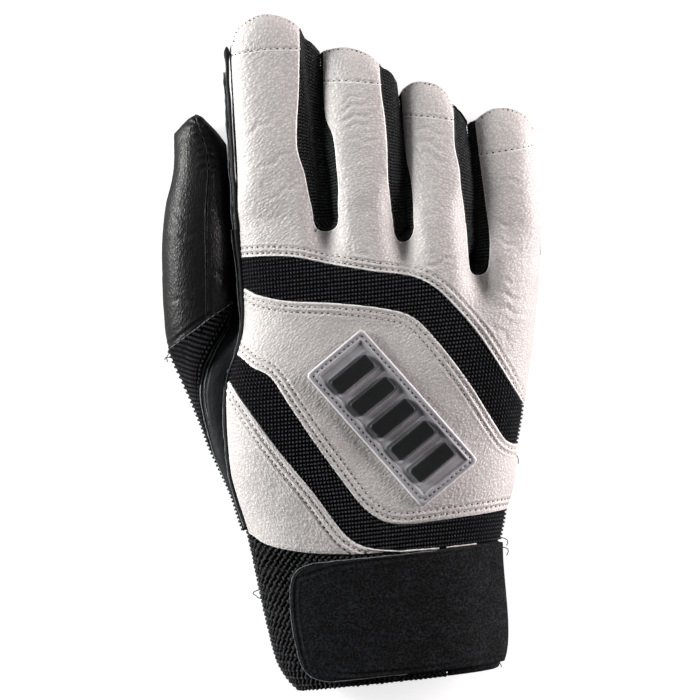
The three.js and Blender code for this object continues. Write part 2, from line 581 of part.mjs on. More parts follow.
function badgePieces() {
  const shell = (inset, thickness) =>
    handShell({ y: [-62, 12], turn: [-45, 52], inset: [inset - thickness, inset], rows: 14, columns: 9 });
  const onLeather = -0.3;
  const plate = shell(onLeather, BADGE.thickness);
  const pieces = { badge_plate: plate.intersect(roundedPrism(BADGE.length, BADGE.width, BADGE.corner, 0)) };
  const raised = shell(onLeather - BADGE.thickness - 0.05, BAR.thickness);
  for (let k = 0; k < BAR.count; k++) {
    const along = (k - (BAR.count - 1) / 2) * BAR.pitch;
    pieces[`badge_bar_${k + 1}`] = raised.intersect(roundedPrism(BAR.length, BAR.width, BAR.corner, along));
  }
  return pieces;
}

// Assembly

const FINISHES = {
  whiteLeather: { color: 0xd9d3cf, roughness: 0.55, metalness: 0 },
  blackLeather: { color: 0x1b1d1d, roughness: 0.42, metalness: 0 },
  webbing: { color: 0x16171a, roughness: 0.85, metalness: 0 },
  terry: { color: 0x141416, roughness: 0.95, metalness: 0 },
  suede: { color: 0x17191a, roughness: 0.9, metalness: 0 },
  greyRubber: { color: 0xa9a9ad, roughness: 0.5, metalness: 0 },
  blackRubber: { color: 0x191c1d, roughness: 0.45, metalness: 0 },
};
const finishFor = [
  [/^palm_panel$/, "blackLeather"],
  [/_(back|tip)$|_panel$/, "whiteLeather"],
  [/_wall|_band$|gusset/, "webbing"],
  [/^cuff_elastic|loop_patch/, "terry"],
  [/strap|hook|^cuff/, "suede"],
  [/badge_bar/, "blackRubber"],
  [/badge/, "greyRubber"],
  [/./, "blackLeather"],
];

function piece(name, shape) {
  const geometry = shape.isBufferGeometry ? shape : geometryOf(shape);
  const [, finish] = finishFor.find(([pattern]) => pattern.test(name));
  const mesh = new THREE.Mesh(geometry, new THREE.MeshStandardMaterial(FINISHES[finish]));
  mesh.name = name;
  return mesh;
}

const pieces = {
  ...backPanels(),
  crotch_wall_1: crotchWall(0),
  crotch_wall_2: crotchWall(1),
  crotch_wall_3: crotchWall(2),
  ...fingerPieces("index"),
  ...fingerPieces("middle"),
  ...fingerPieces("ring"),
  ...fingerPieces("little"),
  ...thumbPieces(),
  thumb_gusset: gussetPiece(),
  side_strip: sideStrip(),
  palm_panel: palmPanel(),
  ...cuffPieces(),
  ...strapPieces(),
  ...badgePieces(),
};

const glove = new THREE.Group();
for (const [name, shape] of Object.entries(pieces)) glove.add(piece(name, shape));

export default glove;
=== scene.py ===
"""A batting glove for the right hand.

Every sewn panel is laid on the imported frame, then stitched and finished. Lengths are millimetres while a
piece is being shaped, and become metres when its mesh is made.
"""

import math

import bpy
import mathutils.kdtree
import numpy as np
from mathutils import Matrix


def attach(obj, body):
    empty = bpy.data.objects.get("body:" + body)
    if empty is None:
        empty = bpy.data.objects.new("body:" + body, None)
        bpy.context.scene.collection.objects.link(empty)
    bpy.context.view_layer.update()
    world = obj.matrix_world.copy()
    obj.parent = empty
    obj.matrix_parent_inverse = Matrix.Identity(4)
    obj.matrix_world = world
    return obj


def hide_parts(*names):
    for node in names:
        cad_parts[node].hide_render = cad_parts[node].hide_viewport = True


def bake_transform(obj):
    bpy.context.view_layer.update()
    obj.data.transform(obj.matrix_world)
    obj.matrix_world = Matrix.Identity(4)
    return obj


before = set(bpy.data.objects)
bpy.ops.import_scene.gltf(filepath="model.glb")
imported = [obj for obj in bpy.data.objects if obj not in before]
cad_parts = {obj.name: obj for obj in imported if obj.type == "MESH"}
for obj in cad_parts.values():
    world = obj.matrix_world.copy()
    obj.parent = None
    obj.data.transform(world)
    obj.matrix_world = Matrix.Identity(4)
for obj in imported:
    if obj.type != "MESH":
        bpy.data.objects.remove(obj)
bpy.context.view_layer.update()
MM = 0.001


# Curves and solids of the hand


def smoothstep(value, low, high):
    t = np.clip((value - low) / (high - low), 0.0, 1.0)
    return t * t * (3 - 2 * t)


def lerp(a, b, t):
    return a + (b - a) * t


def settle(value, goal, rounds):
    """A value that fits the goal worked out from it: half way towards that goal, over and over."""
    for _ in range(rounds):
        value = lerp(value, goal(value), 0.5)
    return value


def signed_power(value, exponent):
    return np.sign(value) * np.abs(value) ** exponent


def profile(pairs):
    """A smooth value along one axis, through [position, value] pairs in rising order."""
    at, value = np.array(pairs, float).T
    n = len(at)
    before = np.maximum(np.arange(n) - 1, 0)
    after = np.minimum(np.arange(n) + 1, n - 1)
    slope = (value[after] - value[before]) / (at[after] - at[before])

    def read(where):
        here = np.clip(np.asarray(where, float), at[0], at[-1])
        k = np.clip(np.searchsorted(at, here, side="right") - 1, 0, n - 2)
        span = at[k + 1] - at[k]
        t = (here - at[k]) / span
        return (
            (2 * t**3 - 3 * t**2 + 1) * value[k]
            + (t**3 - 2 * t**2 + t) * span * slope[k]
            + (3 * t**2 - 2 * t**3) * value[k + 1]
            + (t**3 - t**2) * span * slope[k + 1]
        )

    return read


def vec(x, y, z):
    return np.stack(np.broadcast_arrays(np.asarray(x, float), y, z), axis=-1)


SQUARE_TOP, SQUARE_BOTTOM = 0.8, 0.55


def oval(section, turn, inset=0.0, square=(SQUARE_TOP, SQUARE_BOTTOM)):
    """x and z on an oval section. turn is 0 at the top, 90 on the right and 180 underneath, in degrees."""
    left, right, crest, ground, waist = section
    across, up = np.sin(np.radians(turn)), np.cos(np.radians(turn))
    exponent = np.where(up >= 0, square[0], square[1])
    height = np.where(up >= 0, crest - waist, waist - ground)
    x = (left + right) / 2 + ((right - left) / 2 - inset) * signed_power(across, exponent)
    return x, waist + (height - inset) * signed_power(up, exponent)


def turn_at(section, x):
    """The turn at which the top of a section lies over a plan x."""
    left, right = section[0], section[1]
    share = np.clip((x - (left + right) / 2) / ((right - left) / 2), -0.999, 0.999)
    return np.degrees(np.arcsin(np.clip(signed_power(share, 1 / SQUARE_TOP), -1, 1)))


hand_left = profile([
    [-113, -33.5], [-110, -36], [-104, -39.2], [-92, -41.4], [-72, -43.6], [-60, -45], [-46, -48],
    [-37, -49.2], [-16, -48.4], [-7, -46.6], [0, -43.2], [8, -40.2], [18, -38.8], [44, -37.8],
])
hand_right = profile([
    [-113, 34.4], [-107, 37], [-98, 38.4], [-72, 39.4], [-61, 42.3], [-52, 46], [-39, 48.4], [-21, 53.3],
    [-7, 56.8], [5, 59.4], [15, 61.3], [33, 63.8], [44, 64.2],
])
hand_crest = profile([
    [-113, 31], [-90, 32.5], [-70, 33.5], [-40, 34.5], [-10, 34], [15, 32], [30, 30], [44, 28],
])
root_line = profile([[-40, 42], [6, 42], [18, 39], [30, 34], [42, 28], [54, 23.5], [66, 22]])
PALM_RISE, GROUND_FLAT, WAIST = 8.5, 0.3, 14.5
BACK_TURN, WRAP_TURN, PALM_TURN = -75.0, 105.0, 135.0
CROTCHES = [(-7.5, 38.3), (17.3, 32.0), (41.0, 18.4)]
CROTCH_DIP, CROTCH_SPREAD = 5, 5
BADGE_DISH, DISH_MIDDLE, DISH_SPREAD = 2.5, 4, 20


def hand_section(y):
    return hand_left(y), hand_right(y), hand_crest(y), 0.0, WAIST


def bell(value, middle, spread):
    """A smooth hump of height 1 round the middle."""
    return np.exp(-(((value - middle) / spread) ** 2))


def hand_point(y, turn, inset=0.0):
    """A point on the hand-shaped form, whose back dips between the fingers and under the badge."""
    y, turn = np.broadcast_arrays(np.asarray(y, float), np.asarray(turn, float))
    x, z = oval(hand_section(y), turn, inset)
    dip = sum(CROTCH_DIP * smoothstep(y, cy - 17, cy + 2) * bell(x, cx, CROTCH_SPREAD) for cx, cy in CROTCHES)
    dish = BADGE_DISH * bell(x, DISH_MIDDLE, DISH_SPREAD)
    dip = dip + dish * smoothstep(y, -60, -34) * (1 - smoothstep(y, 0, 28))
    rise = PALM_RISE * smoothstep(y, root_line(x) - 30, root_line(x) + 2)
    lifted = np.maximum(z, inset + GROUND_FLAT) - GROUND_FLAT * (1 - rise / PALM_RISE)
    below = lerp(lifted, WAIST, rise / WAIST)
    return vec(x, y, np.where(np.abs(turn) > 90, below, z - dip))


def hand_normal(y, turn):
    """The outward direction of the hand-shaped form."""
    across = hand_point(y, turn + 0.2) - hand_point(y, turn - 0.2)
    normal = np.cross(across, hand_point(y + 0.1, turn) - hand_point(y - 0.1, turn))
    return normal / np.linalg.norm(normal, axis=-1, keepdims=True)


class Sleeve:
    """A finger or the thumb: four sides along y, and a dome that draws it in before the rim of its tip."""

    def __init__(self, root, dome, rim, left, right, crest, ground, seam=None, edges=(None, None),
                 square=(SQUARE_TOP, 0.7)):
        self.root, self.dome, self.square = root, dome, square
        self.rim, self.crest, self.ground = map(profile, (rim, crest, ground))
        self.left, self.right = profile(left), profile(right)
        self.cap = seam and profile(seam)
        self.edges = [edge and profile(edge) for edge in edges]

    def section(self, y):
        crest, ground = self.crest(y), self.ground(y)
        return self.left(y), self.right(y), crest, ground, lerp(ground, crest, WAIST_SHARE)

    def middle(self):
        """The plan x halfway across, below the tip."""
        return (self.left(60) + self.right(60)) / 2

    def point(self, y, turn, inset=0.0):
        section = self.section(y)
        x, z = oval(section, turn, inset, self.square)
        over = np.clip(1 - (self.rim(x) - y) / self.dome, 0, 1)
        shrink = (1 - over**2) ** (DOME_SQUARE / 2)
        return vec(x, y, lerp(section[4], np.maximum(z, inset), shrink))

    def seam(self, side, y, palm=False):
        """The turn of the back leather's seam, or the palm leather's, on side -1 or 1."""
        edge = self.edges[0 if side < 0 else 1]
        if edge is None:
            return side * ((75 if side < 0 else 103) + (3 if palm else 0)) + 0 * y
        return side * PALM_TURN + 0 * y if palm else turn_at(self.section(y), edge(y))

    def strip(self, low, high, shares, places, span, lift=0.0):
        """A grid between two lines and two seams. low and high give y over x, span gives two turns over y."""
        shares = np.asarray(shares)[:, None]
        y = lerp(low(0.0), high(np.zeros(len(places))), shares) + 0 * shares

        def row(y):
            x = oval(self.section(y), lerp(*span(y), places), 0.0, self.square)[0]
            return lerp(low(x), high(x), shares)

        y = settle(np.broadcast_to(y, (len(shares), len(places))), row, 36)
        return y, self.point(y, lerp(*span(y), places), lift)


DOME_SQUARE, WAIST_SHARE = 0.5, 0.46
FINGERS = {
    "index": Sleeve(
        42, 11,
        [
            [-33.9, 100.5], [-33, 104], [-31.9, 107.4], [-30, 109.6], [-27.1, 111.4], [-24, 112.6],
            [-20.5, 112.9], [-16.9, 112.2], [-13.8, 110.8], [-11.3, 109.2], [-9.5, 107], [-8.3, 103.4],
            [-6.2, 101.5], [-3.6, 98],
        ],
        [[42, -37.9], [52, -36.4], [68, -35.2], [85, -34.5], [98, -33.9], [106, -33.2]],
        [[42, -5.6], [57, -5.7], [69, -6.3], [77, -5.8], [86, -5.1], [98, -3.9], [106, -4.5]],
        [[42, 26.2], [60, 24.2], [80, 21.2], [95, 18.5], [103, 17.2], [113, 16.4]],
        [[42, 8.5], [60, 6.4], [80, 3], [95, 0.6], [103, 0]],
        [[-34, 99.2], [-23, 99.9], [-9, 98.9]],
        (None, [[42, -11.4], [49, -12.4], [57, -12.6], [66, -14.3], [74, -13.7], [86, -11.8], [106, -9.4]]),
    ),
    "middle": Sleeve(
        42, 10,
        [
            [-4, 96.4], [-3.1, 97.9], [-0.6, 98.9], [3.7, 99.2], [7.8, 98.3], [10.9, 96.9], [13.4, 95.2],
            [15.4, 92.9], [16.6, 90.7], [18.1, 89.8], [19.6, 88.2], [20.9, 85],
        ],
        [[42, -5.1], [57, -5.2], [69, -5.8], [77, -5.3], [86, -4.6], [98, -3.4]],
        [[42, 18.7], [53, 19.4], [66, 20.2], [75, 20.7], [84, 20.8], [92, 20.6]],
        [[42, 28.2], [60, 25.6], [80, 21], [91, 18], [99, 17]],
        [[42, 8.5], [60, 7], [80, 2.2], [91, 0]],
        [[-4, 87.5], [5, 86.5], [16, 84.3]],
        (
            [[42, -3.4], [48, -2.2], [57, -2.3], [69, -2.4], [77, -4.2], [97, -2.9]],
            [[42, 14.7], [53, 14.7], [65, 15.6], [74, 15.8], [83, 15.5], [93, 16]],
        ),
    ),
    "ring": Sleeve(
        36, 10,
        [
            [21.2, 80.5], [22.8, 82.9], [25.1, 84.5], [27.7, 85.1], [30.7, 84.7], [33.7, 83.6], [36.1, 81.8],
            [37.6, 79.7], [38.5, 77.2], [39.3, 74.2], [40.7, 72.4], [42.2, 69.6],
        ],
        [[36, 19.3], [53, 20.1], [66, 20.8], [75, 21.2], [81, 21.3]],
        [[36, 41.3], [50, 42.1], [60, 42.3], [70, 42.3], [77, 41.6]],
        [[36, 27.6], [50, 25.6], [65, 21.5], [77, 17.8], [85, 16.6]],
        [[36, 8], [50, 6.6], [65, 2], [77, 0]],
        [[21, 73.6], [30, 71.9], [39, 69.8]],
        (
            [[36, 21.2], [42, 22], [53, 21.8], [60, 21.2], [80, 21.8]],
            [[36, 38.8], [47, 38.5], [54, 38.7], [62, 38], [74, 38.9], [78, 38.6]],
        ),
    ),
    "little": Sleeve(
        23, 10,
        [
            [42.8, 68.4], [44, 69.5], [45.3, 69.9], [47.2, 71.2], [49.4, 72.5], [52.1, 73.4], [55.2, 73.4],
            [58.2, 72.8], [61.1, 71.3], [63, 69.7], [64.4, 67.6], [65, 65.5],
        ],
        [[23, 41.8], [30, 41.9], [45, 42.7], [60, 42.9], [70, 43.2]],
        [[23, 63.2], [33, 64], [41, 64.2], [51, 64.3], [60, 64.6], [69, 65]],
        [[23, 24.6], [40, 22.6], [55, 19.2], [66, 16.4], [74, 15.6]],
        [[23, 7.2], [40, 5.6], [55, 1.8], [66, 0]],
        [[44, 57.5], [53, 57.8], [65, 58.8]],
        ([[23, 45], [29, 45.9], [43, 45.8], [58, 45.5], [70, 45.4]], None),
    ),
}
THUMB = Sleeve(
    2, 12,
    [
        [-57, 74.8], [-55.3, 76.2], [-53.4, 77.8], [-51.5, 79.4], [-49.3, 80.9], [-47.2, 82], [-45.5, 81.2],
        [-43.8, 79.2], [-42.2, 77.2], [-39.8, 73.8], [-38.2, 71.2], [-37, 69.4],
    ],
    [
        [-62, -45.4], [-53, -47], [-44, -49.2], [-27, -54.8], [-13, -59], [-1, -62.8], [8, -64.8],
        [24, -64.2], [41, -62.8], [53, -60.2], [64, -56.6], [76, -55.2],
    ],
    [
        [-62, -38], [-44, -41], [-27, -46], [-13, -47.5], [-1, -44], [8, -41.4], [18, -40], [36, -38.9],
        [60, -38.3], [70, -38], [76, -38.4],
    ],
    [
        [-62, 18], [-44, 17.5], [-27, 17.5], [-13, 18.5], [0, 20.5], [15, 22], [40, 21.5], [60, 18.6],
        [74, 15.4],
    ],
    [[-62, 0], [74, 0]],
    square=(0.9, 0.7),
)
CREASE_TURN = 8.0
SPLAY_PIVOT, SPLAY_SLOPE = (-65.2, 3.6), math.tan(math.radians(31))
gusset_x = profile([
    [-58, -45], [-49, -47.4], [-35, -52], [-27, -53.7], [-13, -55.2], [-4, -53.4], [2, -50.2], [8, -46],
    [14, -42.4], [20, -39.9], [30, -38.9], [41, -38.2],
])
gusset_z = profile([
    [-58, 13], [-35, 15.5], [-13, 17.6], [-4, 18.2], [2, 17], [8, 13], [14, 8.6], [20, 6.4], [30, 9.4],
    [41, 12.8],
])


def thumb_base_y(x):
    """Where the thumb's base seam crosses a plan x."""
    return SPLAY_PIVOT[1] + (x - SPLAY_PIVOT[0]) * SPLAY_SLOPE


def gusset_point(y, c):
    """The gusset's face from the palm at c 0 to the side strip's seam at c 1."""
    y, c = np.broadcast_arrays(np.asarray(y, float), np.asarray(c, float))
    seam = vec(gusset_x(y), y, gusset_z(y))
    section = THUMB.section(y)
    round_ = THUMB.point(y, lerp(-150.0, turn_at(section, seam[..., 0]), c))
    low = vec(section[0] + 2.6, y, 0.0)
    middle = vec(section[0], y, 8.5)
    pull = 2 * middle - (low + seam) / 2
    t = c[..., None]
    side = (1 - t) ** 2 * low + 2 * t * (1 - t) * pull + t**2 * seam
    return lerp(side, round_, smoothstep(y, -30, -2)[..., None])


# Seams in plan, as y over x, from the knuckles down to the wrist

upper_band_top = profile([
    [-70, 32.6], [-37.6, 32.4], [-20.7, 30.9], [-8.3, 27.3], [6.3, 23.1], [19, 20.2], [26.5, 15.4], [33.4, 7],
    [39.1, -1.5], [44.6, -12], [51.8, -26], [60, -38],
])
upper_band_bottom = profile([
    [-70, 23], [-38.8, 22.6], [-32.6, 19.4], [-23.5, 16.5], [-7.3, 14], [9.4, 10.3], [18, 6.6], [24.6, -1.3],
    [34.2, -16.9], [41.8, -32.3], [44.6, -37.2], [48.5, -39], [60, -39.6],
])
lower_band_top = profile([
    [-70, 3], [-42.5, 0.6], [-37.1, -4.2], [-31.2, -8.4], [-25.8, -18.5], [-18.8, -31.6], [-9.9, -46.8],
    [-5.4, -53.9], [0.6, -59.3], [7.5, -61.3], [20.8, -61.2], [41.4, -60.4], [60, -58.5],
])
lower_band_bottom = profile([
    [-70, -4.5], [-47, -6.6], [-41.3, -15.5], [-32.2, -30.9], [-20.6, -48.5], [-12.9, -61.4], [-8, -66.2],
    [0, -68.9], [12, -69.9], [60, -69.9],
])
heel_seam = profile([
    [-70, -58], [-44.5, -59.2], [-39.2, -63], [-32.2, -65.7], [-22, -68], [-10.1, -69.4], [0, -69.9],
])


# Grids of points and the closed sheets made from them


def stops(length, step, dense=(True, True)):
    """Places from 0 to 1 along a side of that length, closer together near the ends that are cut edges."""
    near = np.array([0, 0.08, 0.2, 0.38, 0.62, 0.95, 1.35]) / length
    inner = np.linspace(0, 1, max(2, int(round(length / step))) + 1)
    start, end = (near if dense[0] else near[:1]), (1 - near[::-1] if dense[1] else 1 - near[:1])
    middle = inner[(inner > start[-1] + 0.3 * step / length) & (inner < end[0] - 0.3 * step / length)]
    return np.concatenate([start, middle, end])


def reach_along(line):
    """How far each point of a line is from its start, along it."""
    return np.concatenate([[0.0], np.cumsum(np.linalg.norm(np.diff(line, axis=0), axis=1))])


def over_dome(length, step, dense=(True, True)):
    """Shares of the way over a dome to its rim, closer together towards the rim, where it falls steeply."""
    part = 1 - (1 - stops(length, step, dense)) ** 1.6
    return np.sin(np.radians(89.97 * part))


def up_the_sleeve(length, dome, step):
    """Shares of the way from a sleeve's root to its rim, in mm: even ones, then over the dome."""
    even = np.arange(0, length - dome, step)
    return np.concatenate([even, length - dome + dome * over_dome(dome * 1.7, step, (False, True))]) / length


def resample(line, step):
    reach = reach_along(line)
    at = np.linspace(0, reach[-1], max(2, int(round(reach[-1] / step)) + 1))
    return np.stack([np.interp(at, reach, line[:, k]) for k in range(line.shape[1])], axis=1)


def outward(face):
    """Unit normals of a grid whose rows climb and whose columns turn clockwise."""
    normal = np.cross(np.gradient(face, axis=1), np.gradient(face, axis=0))
    return normal / np.maximum(np.linalg.norm(normal, axis=-1, keepdims=True), 1e-9)


def nearest(points, line):
    """How far each point is from a line of points, and which of them is nearest."""
    flat = points.reshape(-1, 3)
    gap, which = np.empty(len(flat)), np.empty(len(flat), int)
    square = (line**2).sum(1)
    for at in range(0, len(flat), 8000):
        part = flat[at : at + 8000]
        apart = (part**2).sum(1)[:, None] + square - 2 * part @ line.T
        which[at : at + 8000] = apart.argmin(1)
        gap[at : at + 8000] = np.sqrt(np.maximum(apart.min(1), 0))
    return gap.reshape(points.shape[:-1]), which.reshape(points.shape[:-1])


def lumps(points, size, seed=0):
    """Smooth random heights from -1 to 1 over points, in lumps of about that size in mm."""
    place = points / size + 7.31 * seed
    cell = np.floor(place).astype(np.int64)
    part = place - cell
    part = part * part * (3 - 2 * part)
    total = np.zeros(points.shape[:-1])
    for corner in range(8):
        step = np.array([corner >> 2 & 1, corner >> 1 & 1, corner & 1])
        x, y, z = np.moveaxis(cell + step, -1, 0)
        mixed = (x * 374761393 + y * 668265263 + z * 1274126177 + seed * 69069) & 0x7FFFFFFF
        mixed = ((mixed ^ (mixed >> 13)) * 1103515245) & 0x7FFFFFFF
        value = ((mixed ^ (mixed >> 16)) & 0xFFFF) / 32767.5 - 1
        total += value * np.prod(np.where(step, part, 1 - part), axis=-1)
    return total


def wrinkles(points, angle, length, width, seed=0):
    """Long narrow ridges that run at an angle in plan."""
    c, s = math.cos(math.radians(angle)), math.sin(math.radians(angle))
    x, y, z = np.moveaxis(points, -1, 0)
    along, across = x * c + y * s, y * c - x * s
    turned = np.stack([along / length, across / width, z / width], axis=-1)
    soft = lumps(turned, 1.0, seed) + 0.5 * lumps(turned * 2.1, 1.0, seed + 5)
    return 1 - 2 * np.abs(soft)


def beside_stroke(x, y, ax, ay, bx, by):
    """The length of a straight stroke in plan, and how far along it and how far off it each place is."""
    length = math.hypot(bx - ax, by - ay)
    along = ((x - ax) * (bx - ax) + (y - ay) * (by - ay)) / length
    off = ((y - ay) * (bx - ax) - (x - ax) * (by - ay)) / length
    return length, along, off


CREASES_ABOVE = 9


def creases(points, strokes):
    """Pressed lines on the upper side, each between two points in plan, with its depth and half width."""
    x, y, z = np.moveaxis(points, -1, 0)
    total = np.zeros_like(x)
    for *ends, depth, width in strokes:
        length, along, off = beside_stroke(x, y, *ends)
        off = off + 0.6 * np.sin(along * 0.9 + ends[0]) + 0.05 * (along - length / 2) ** 2 / length
        fade = smoothstep(along, 0, 0.3 * length) * (1 - smoothstep(along, 0.7 * length, length))
        line = bell(off, 0.0, width) - 0.45 * bell(np.abs(off), 1.9 * width, width)
        total -= depth * fade * line * (z > CREASES_ABOVE)
    return total


def make_mesh(name, points, quads, **values):
    """A mesh object at the origin, from points in mm, with a number or a vector for each point."""
    mesh = bpy.data.meshes.new(name)
    mesh.vertices.add(len(points))
    mesh.vertices.foreach_set("co", (points * MM).astype(np.float32).ravel())
    mesh.loops.add(len(quads) * 4)
    mesh.loops.foreach_set("vertex_index", quads.astype(np.int32).ravel())
    mesh.polygons.add(len(quads))
    mesh.polygons.foreach_set("loop_start", np.arange(0, len(quads) * 4, 4, dtype=np.int32))
    mesh.update(calc_edges=True)
    mesh.shade_smooth()
    mesh.set_sharp_from_angle(angle=math.radians(62))
    values["rest"] = points
    for key, value in values.items():
        flat = value.reshape(len(points), -1)
        kind, field = ("FLOAT", "value") if flat.shape[1] == 1 else ("FLOAT_VECTOR", "vector")
        attribute = mesh.attributes.new(key, kind, "POINT")
        attribute.data.foreach_set(field, flat.astype(np.float32).ravel())
    piece = bpy.data.objects.new(name, mesh)
    bpy.context.scene.collection.objects.link(piece)
    return piece


def closed_sheet(face, back):
    """Points and faces of a closed sheet between two grids of points."""
    rows, columns = face.shape[:2]
    top = np.arange(rows * columns).reshape(rows, columns)
    low = top + rows * columns
    sides = [
        (top[:-1, :-1], top[:-1, 1:], top[1:, 1:], top[1:, :-1]),
        (low[:-1, :-1], low[1:, :-1], low[1:, 1:], low[:-1, 1:]),
        (top[0, :-1], low[0, :-1], low[0, 1:], top[0, 1:]),
        (top[-1, :-1], top[-1, 1:], low[-1, 1:], low[-1, :-1]),
        (top[:-1, 0], top[1:, 0], low[1:, 0], low[:-1, 0]),
        (top[:-1, -1], low[:-1, -1], low[1:, -1], top[1:, -1]),
    ]
    quads = np.concatenate([np.stack(side, axis=-1).reshape(-1, 4) for side in sides])
    return np.concatenate([face.reshape(-1, 3), back.reshape(-1, 3)]), quads


def carry(piece, body, *nodes):
    """On the hand the piece is parented to the empty of its body. On a finger, the thumb or the strap its
    place is only baked into its mesh.
    """
    if body in FINGERS:
        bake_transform(piece)
    elif body == "thumb":
        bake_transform(piece)
    elif body == "strap":
        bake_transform(piece)
    else:
        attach(piece, body)
    if nodes:
        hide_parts(*nodes)
    return piece


class Sewing:
    """Stitch rows that wait to be sewn, kept by the body and the thread."""

    rows = {}

    @classmethod
    def add(cls, body, thread, line, up, pitch=2.0):
        cls.rows.setdefault((body, thread, pitch), []).append((line, up))


def borders(grid):
    return {"low": grid[0], "high": grid[-1], "left": grid[:, 0], "right": grid[:, -1]}


def row_beside(face, side, distance):
    """The line on a sheet at that distance from one of its sides, in mm."""
    gap, _ = nearest(face, resample(borders(face)[side], 0.25))
    grid, gap = (face, gap) if side in ("low", "high") else (face.swapaxes(0, 1), gap.T)
    if side in ("high", "right"):
        grid, gap = grid[::-1], gap[::-1]
    line = []
    for column in range(grid.shape[1]):
        past = np.argmax(gap[:, column] > distance)
        if past == 0:
            continue
        share = (distance - gap[past - 1, column]) / (gap[past, column] - gap[past - 1, column])
        line.append(lerp(grid[past - 1, column], grid[past, column], share))
    return np.array(line)


FAR_AWAY = 1e4
STITCH_WIDTH, STITCH_SINK, SMOOTHING = 0.45, 0.04, 7


def panel(
    name, face, body, finish, nodes=(), thickness=1.2, roll=0.4, cut=("low", "high", "left", "right"),
    relief=None, rows=(), thread="white_thread", lay=None, groove=0.26, pitch=2.0, edges=None, normal=None,
):
    """One cut piece of leather or cloth: rolled at its cut edges, pressed down along its stitch rows."""
    normal = outward(face) if normal is None else normal
    if edges is None:
        edges = np.concatenate([borders(face)[side] for side in cut]) if cut else np.full((1, 3), FAR_AWAY)
    gap, _ = nearest(face, edges)
    inside = np.clip(roll - gap, 0, roll)
    height = -(roll - np.sqrt(np.maximum(roll**2 - inside**2, 0)))
    if relief is not None:
        height = height + relief(face, gap) * smoothstep(gap, 0, 1.2)
    sewn = []
    for side, distance in rows:
        line = resample(distance if side == "line" else row_beside(face, side, distance), 0.2)
        off, which = nearest(face, line)
        reach = reach_along(line)
        dip = 0.72 + 0.28 * np.cos(2 * np.pi * reach[which] / pitch + np.pi)
        height = height - groove * bell(off, 0.0, STITCH_WIDTH) * dip
        height = height + 0.5 * groove * bell(off, 1.0, 0.4)
        sewn.append((line, nearest(line, face.reshape(-1, 3))[1]))
    for line, spots in sewn:
        up = normal.reshape(-1, 3)[spots]
        window = 2 * SMOOTHING + 1
        padded = np.pad(height.ravel()[spots], SMOOTHING, "edge")
        depth = np.convolve(padded, np.full(window, 1 / window), "valid")
        Sewing.add(body, thread, line + up * (depth[:, None] - STITCH_SINK), up, pitch)
    top = face + normal * height[..., None]
    points, quads = closed_sheet(top, face - normal * thickness)
    flat_lay = face if lay is None else lay
    piece = make_mesh(
        name, points, quads,
        edge=np.concatenate([gap.ravel(), np.zeros(gap.size)]),
        lay=np.concatenate([flat_lay.reshape(-1, 3)] * 2),
        inside=np.repeat([0.0, 1.0], gap.size),
    )
    piece.data.materials.append(MATERIALS[finish])
    return carry(piece, body, *nodes)


def tube(line, radius, sides=8):
    """Points and faces of a round closed strand. radius is one number, or one for each point of the line."""
    line = np.asarray(line, float)
    along = np.gradient(line, axis=0)
    along /= np.maximum(np.linalg.norm(along, axis=1, keepdims=True), 1e-9)
    side = np.cross(along, [0.0, 0.0, 1.0])
    side[np.linalg.norm(side, axis=1) < 0.05] = [1.0, 0.0, 0.0]
    side /= np.linalg.norm(side, axis=1, keepdims=True)
    up = np.cross(side, along)
    turn = np.linspace(0, 2 * np.pi, sides, endpoint=False)[None, :, None]
    reach = np.broadcast_to(radius, len(line))[:, None, None]
    rings = line[:, None] + reach * (np.cos(turn) * side[:, None] + np.sin(turn) * up[:, None])
    ring = np.arange(len(line) * sides).reshape(len(line), sides)
    right = np.roll(ring, -1, axis=1)
    quads = [np.stack([ring[:-1], ring[1:], right[1:], right[:-1]], axis=-1).reshape(-1, 4)]
    first = np.arange(sides // 2 - 1)
    lid = np.stack([first, first + 1, sides - 2 - first, sides - 1 - first], axis=-1)
    quads += [ring[0][lid], ring[-1][lid][:, ::-1]]
    return rings.reshape(-1, 3), np.concatenate(quads)


def strands(name, tubes, body, finish, *nodes):
    """Several strands as one piece."""
    counts = np.cumsum([0] + [len(points) for points, _ in tubes])
    points = np.concatenate([points for points, _ in tubes])
    quads = np.concatenate([faces + start for (_, faces), start in zip(tubes, counts)])
    piece = make_mesh(name, points, quads)
    piece.data.materials.append(MATERIALS[finish])
    return carry(piece, body, *nodes)


# Finishes


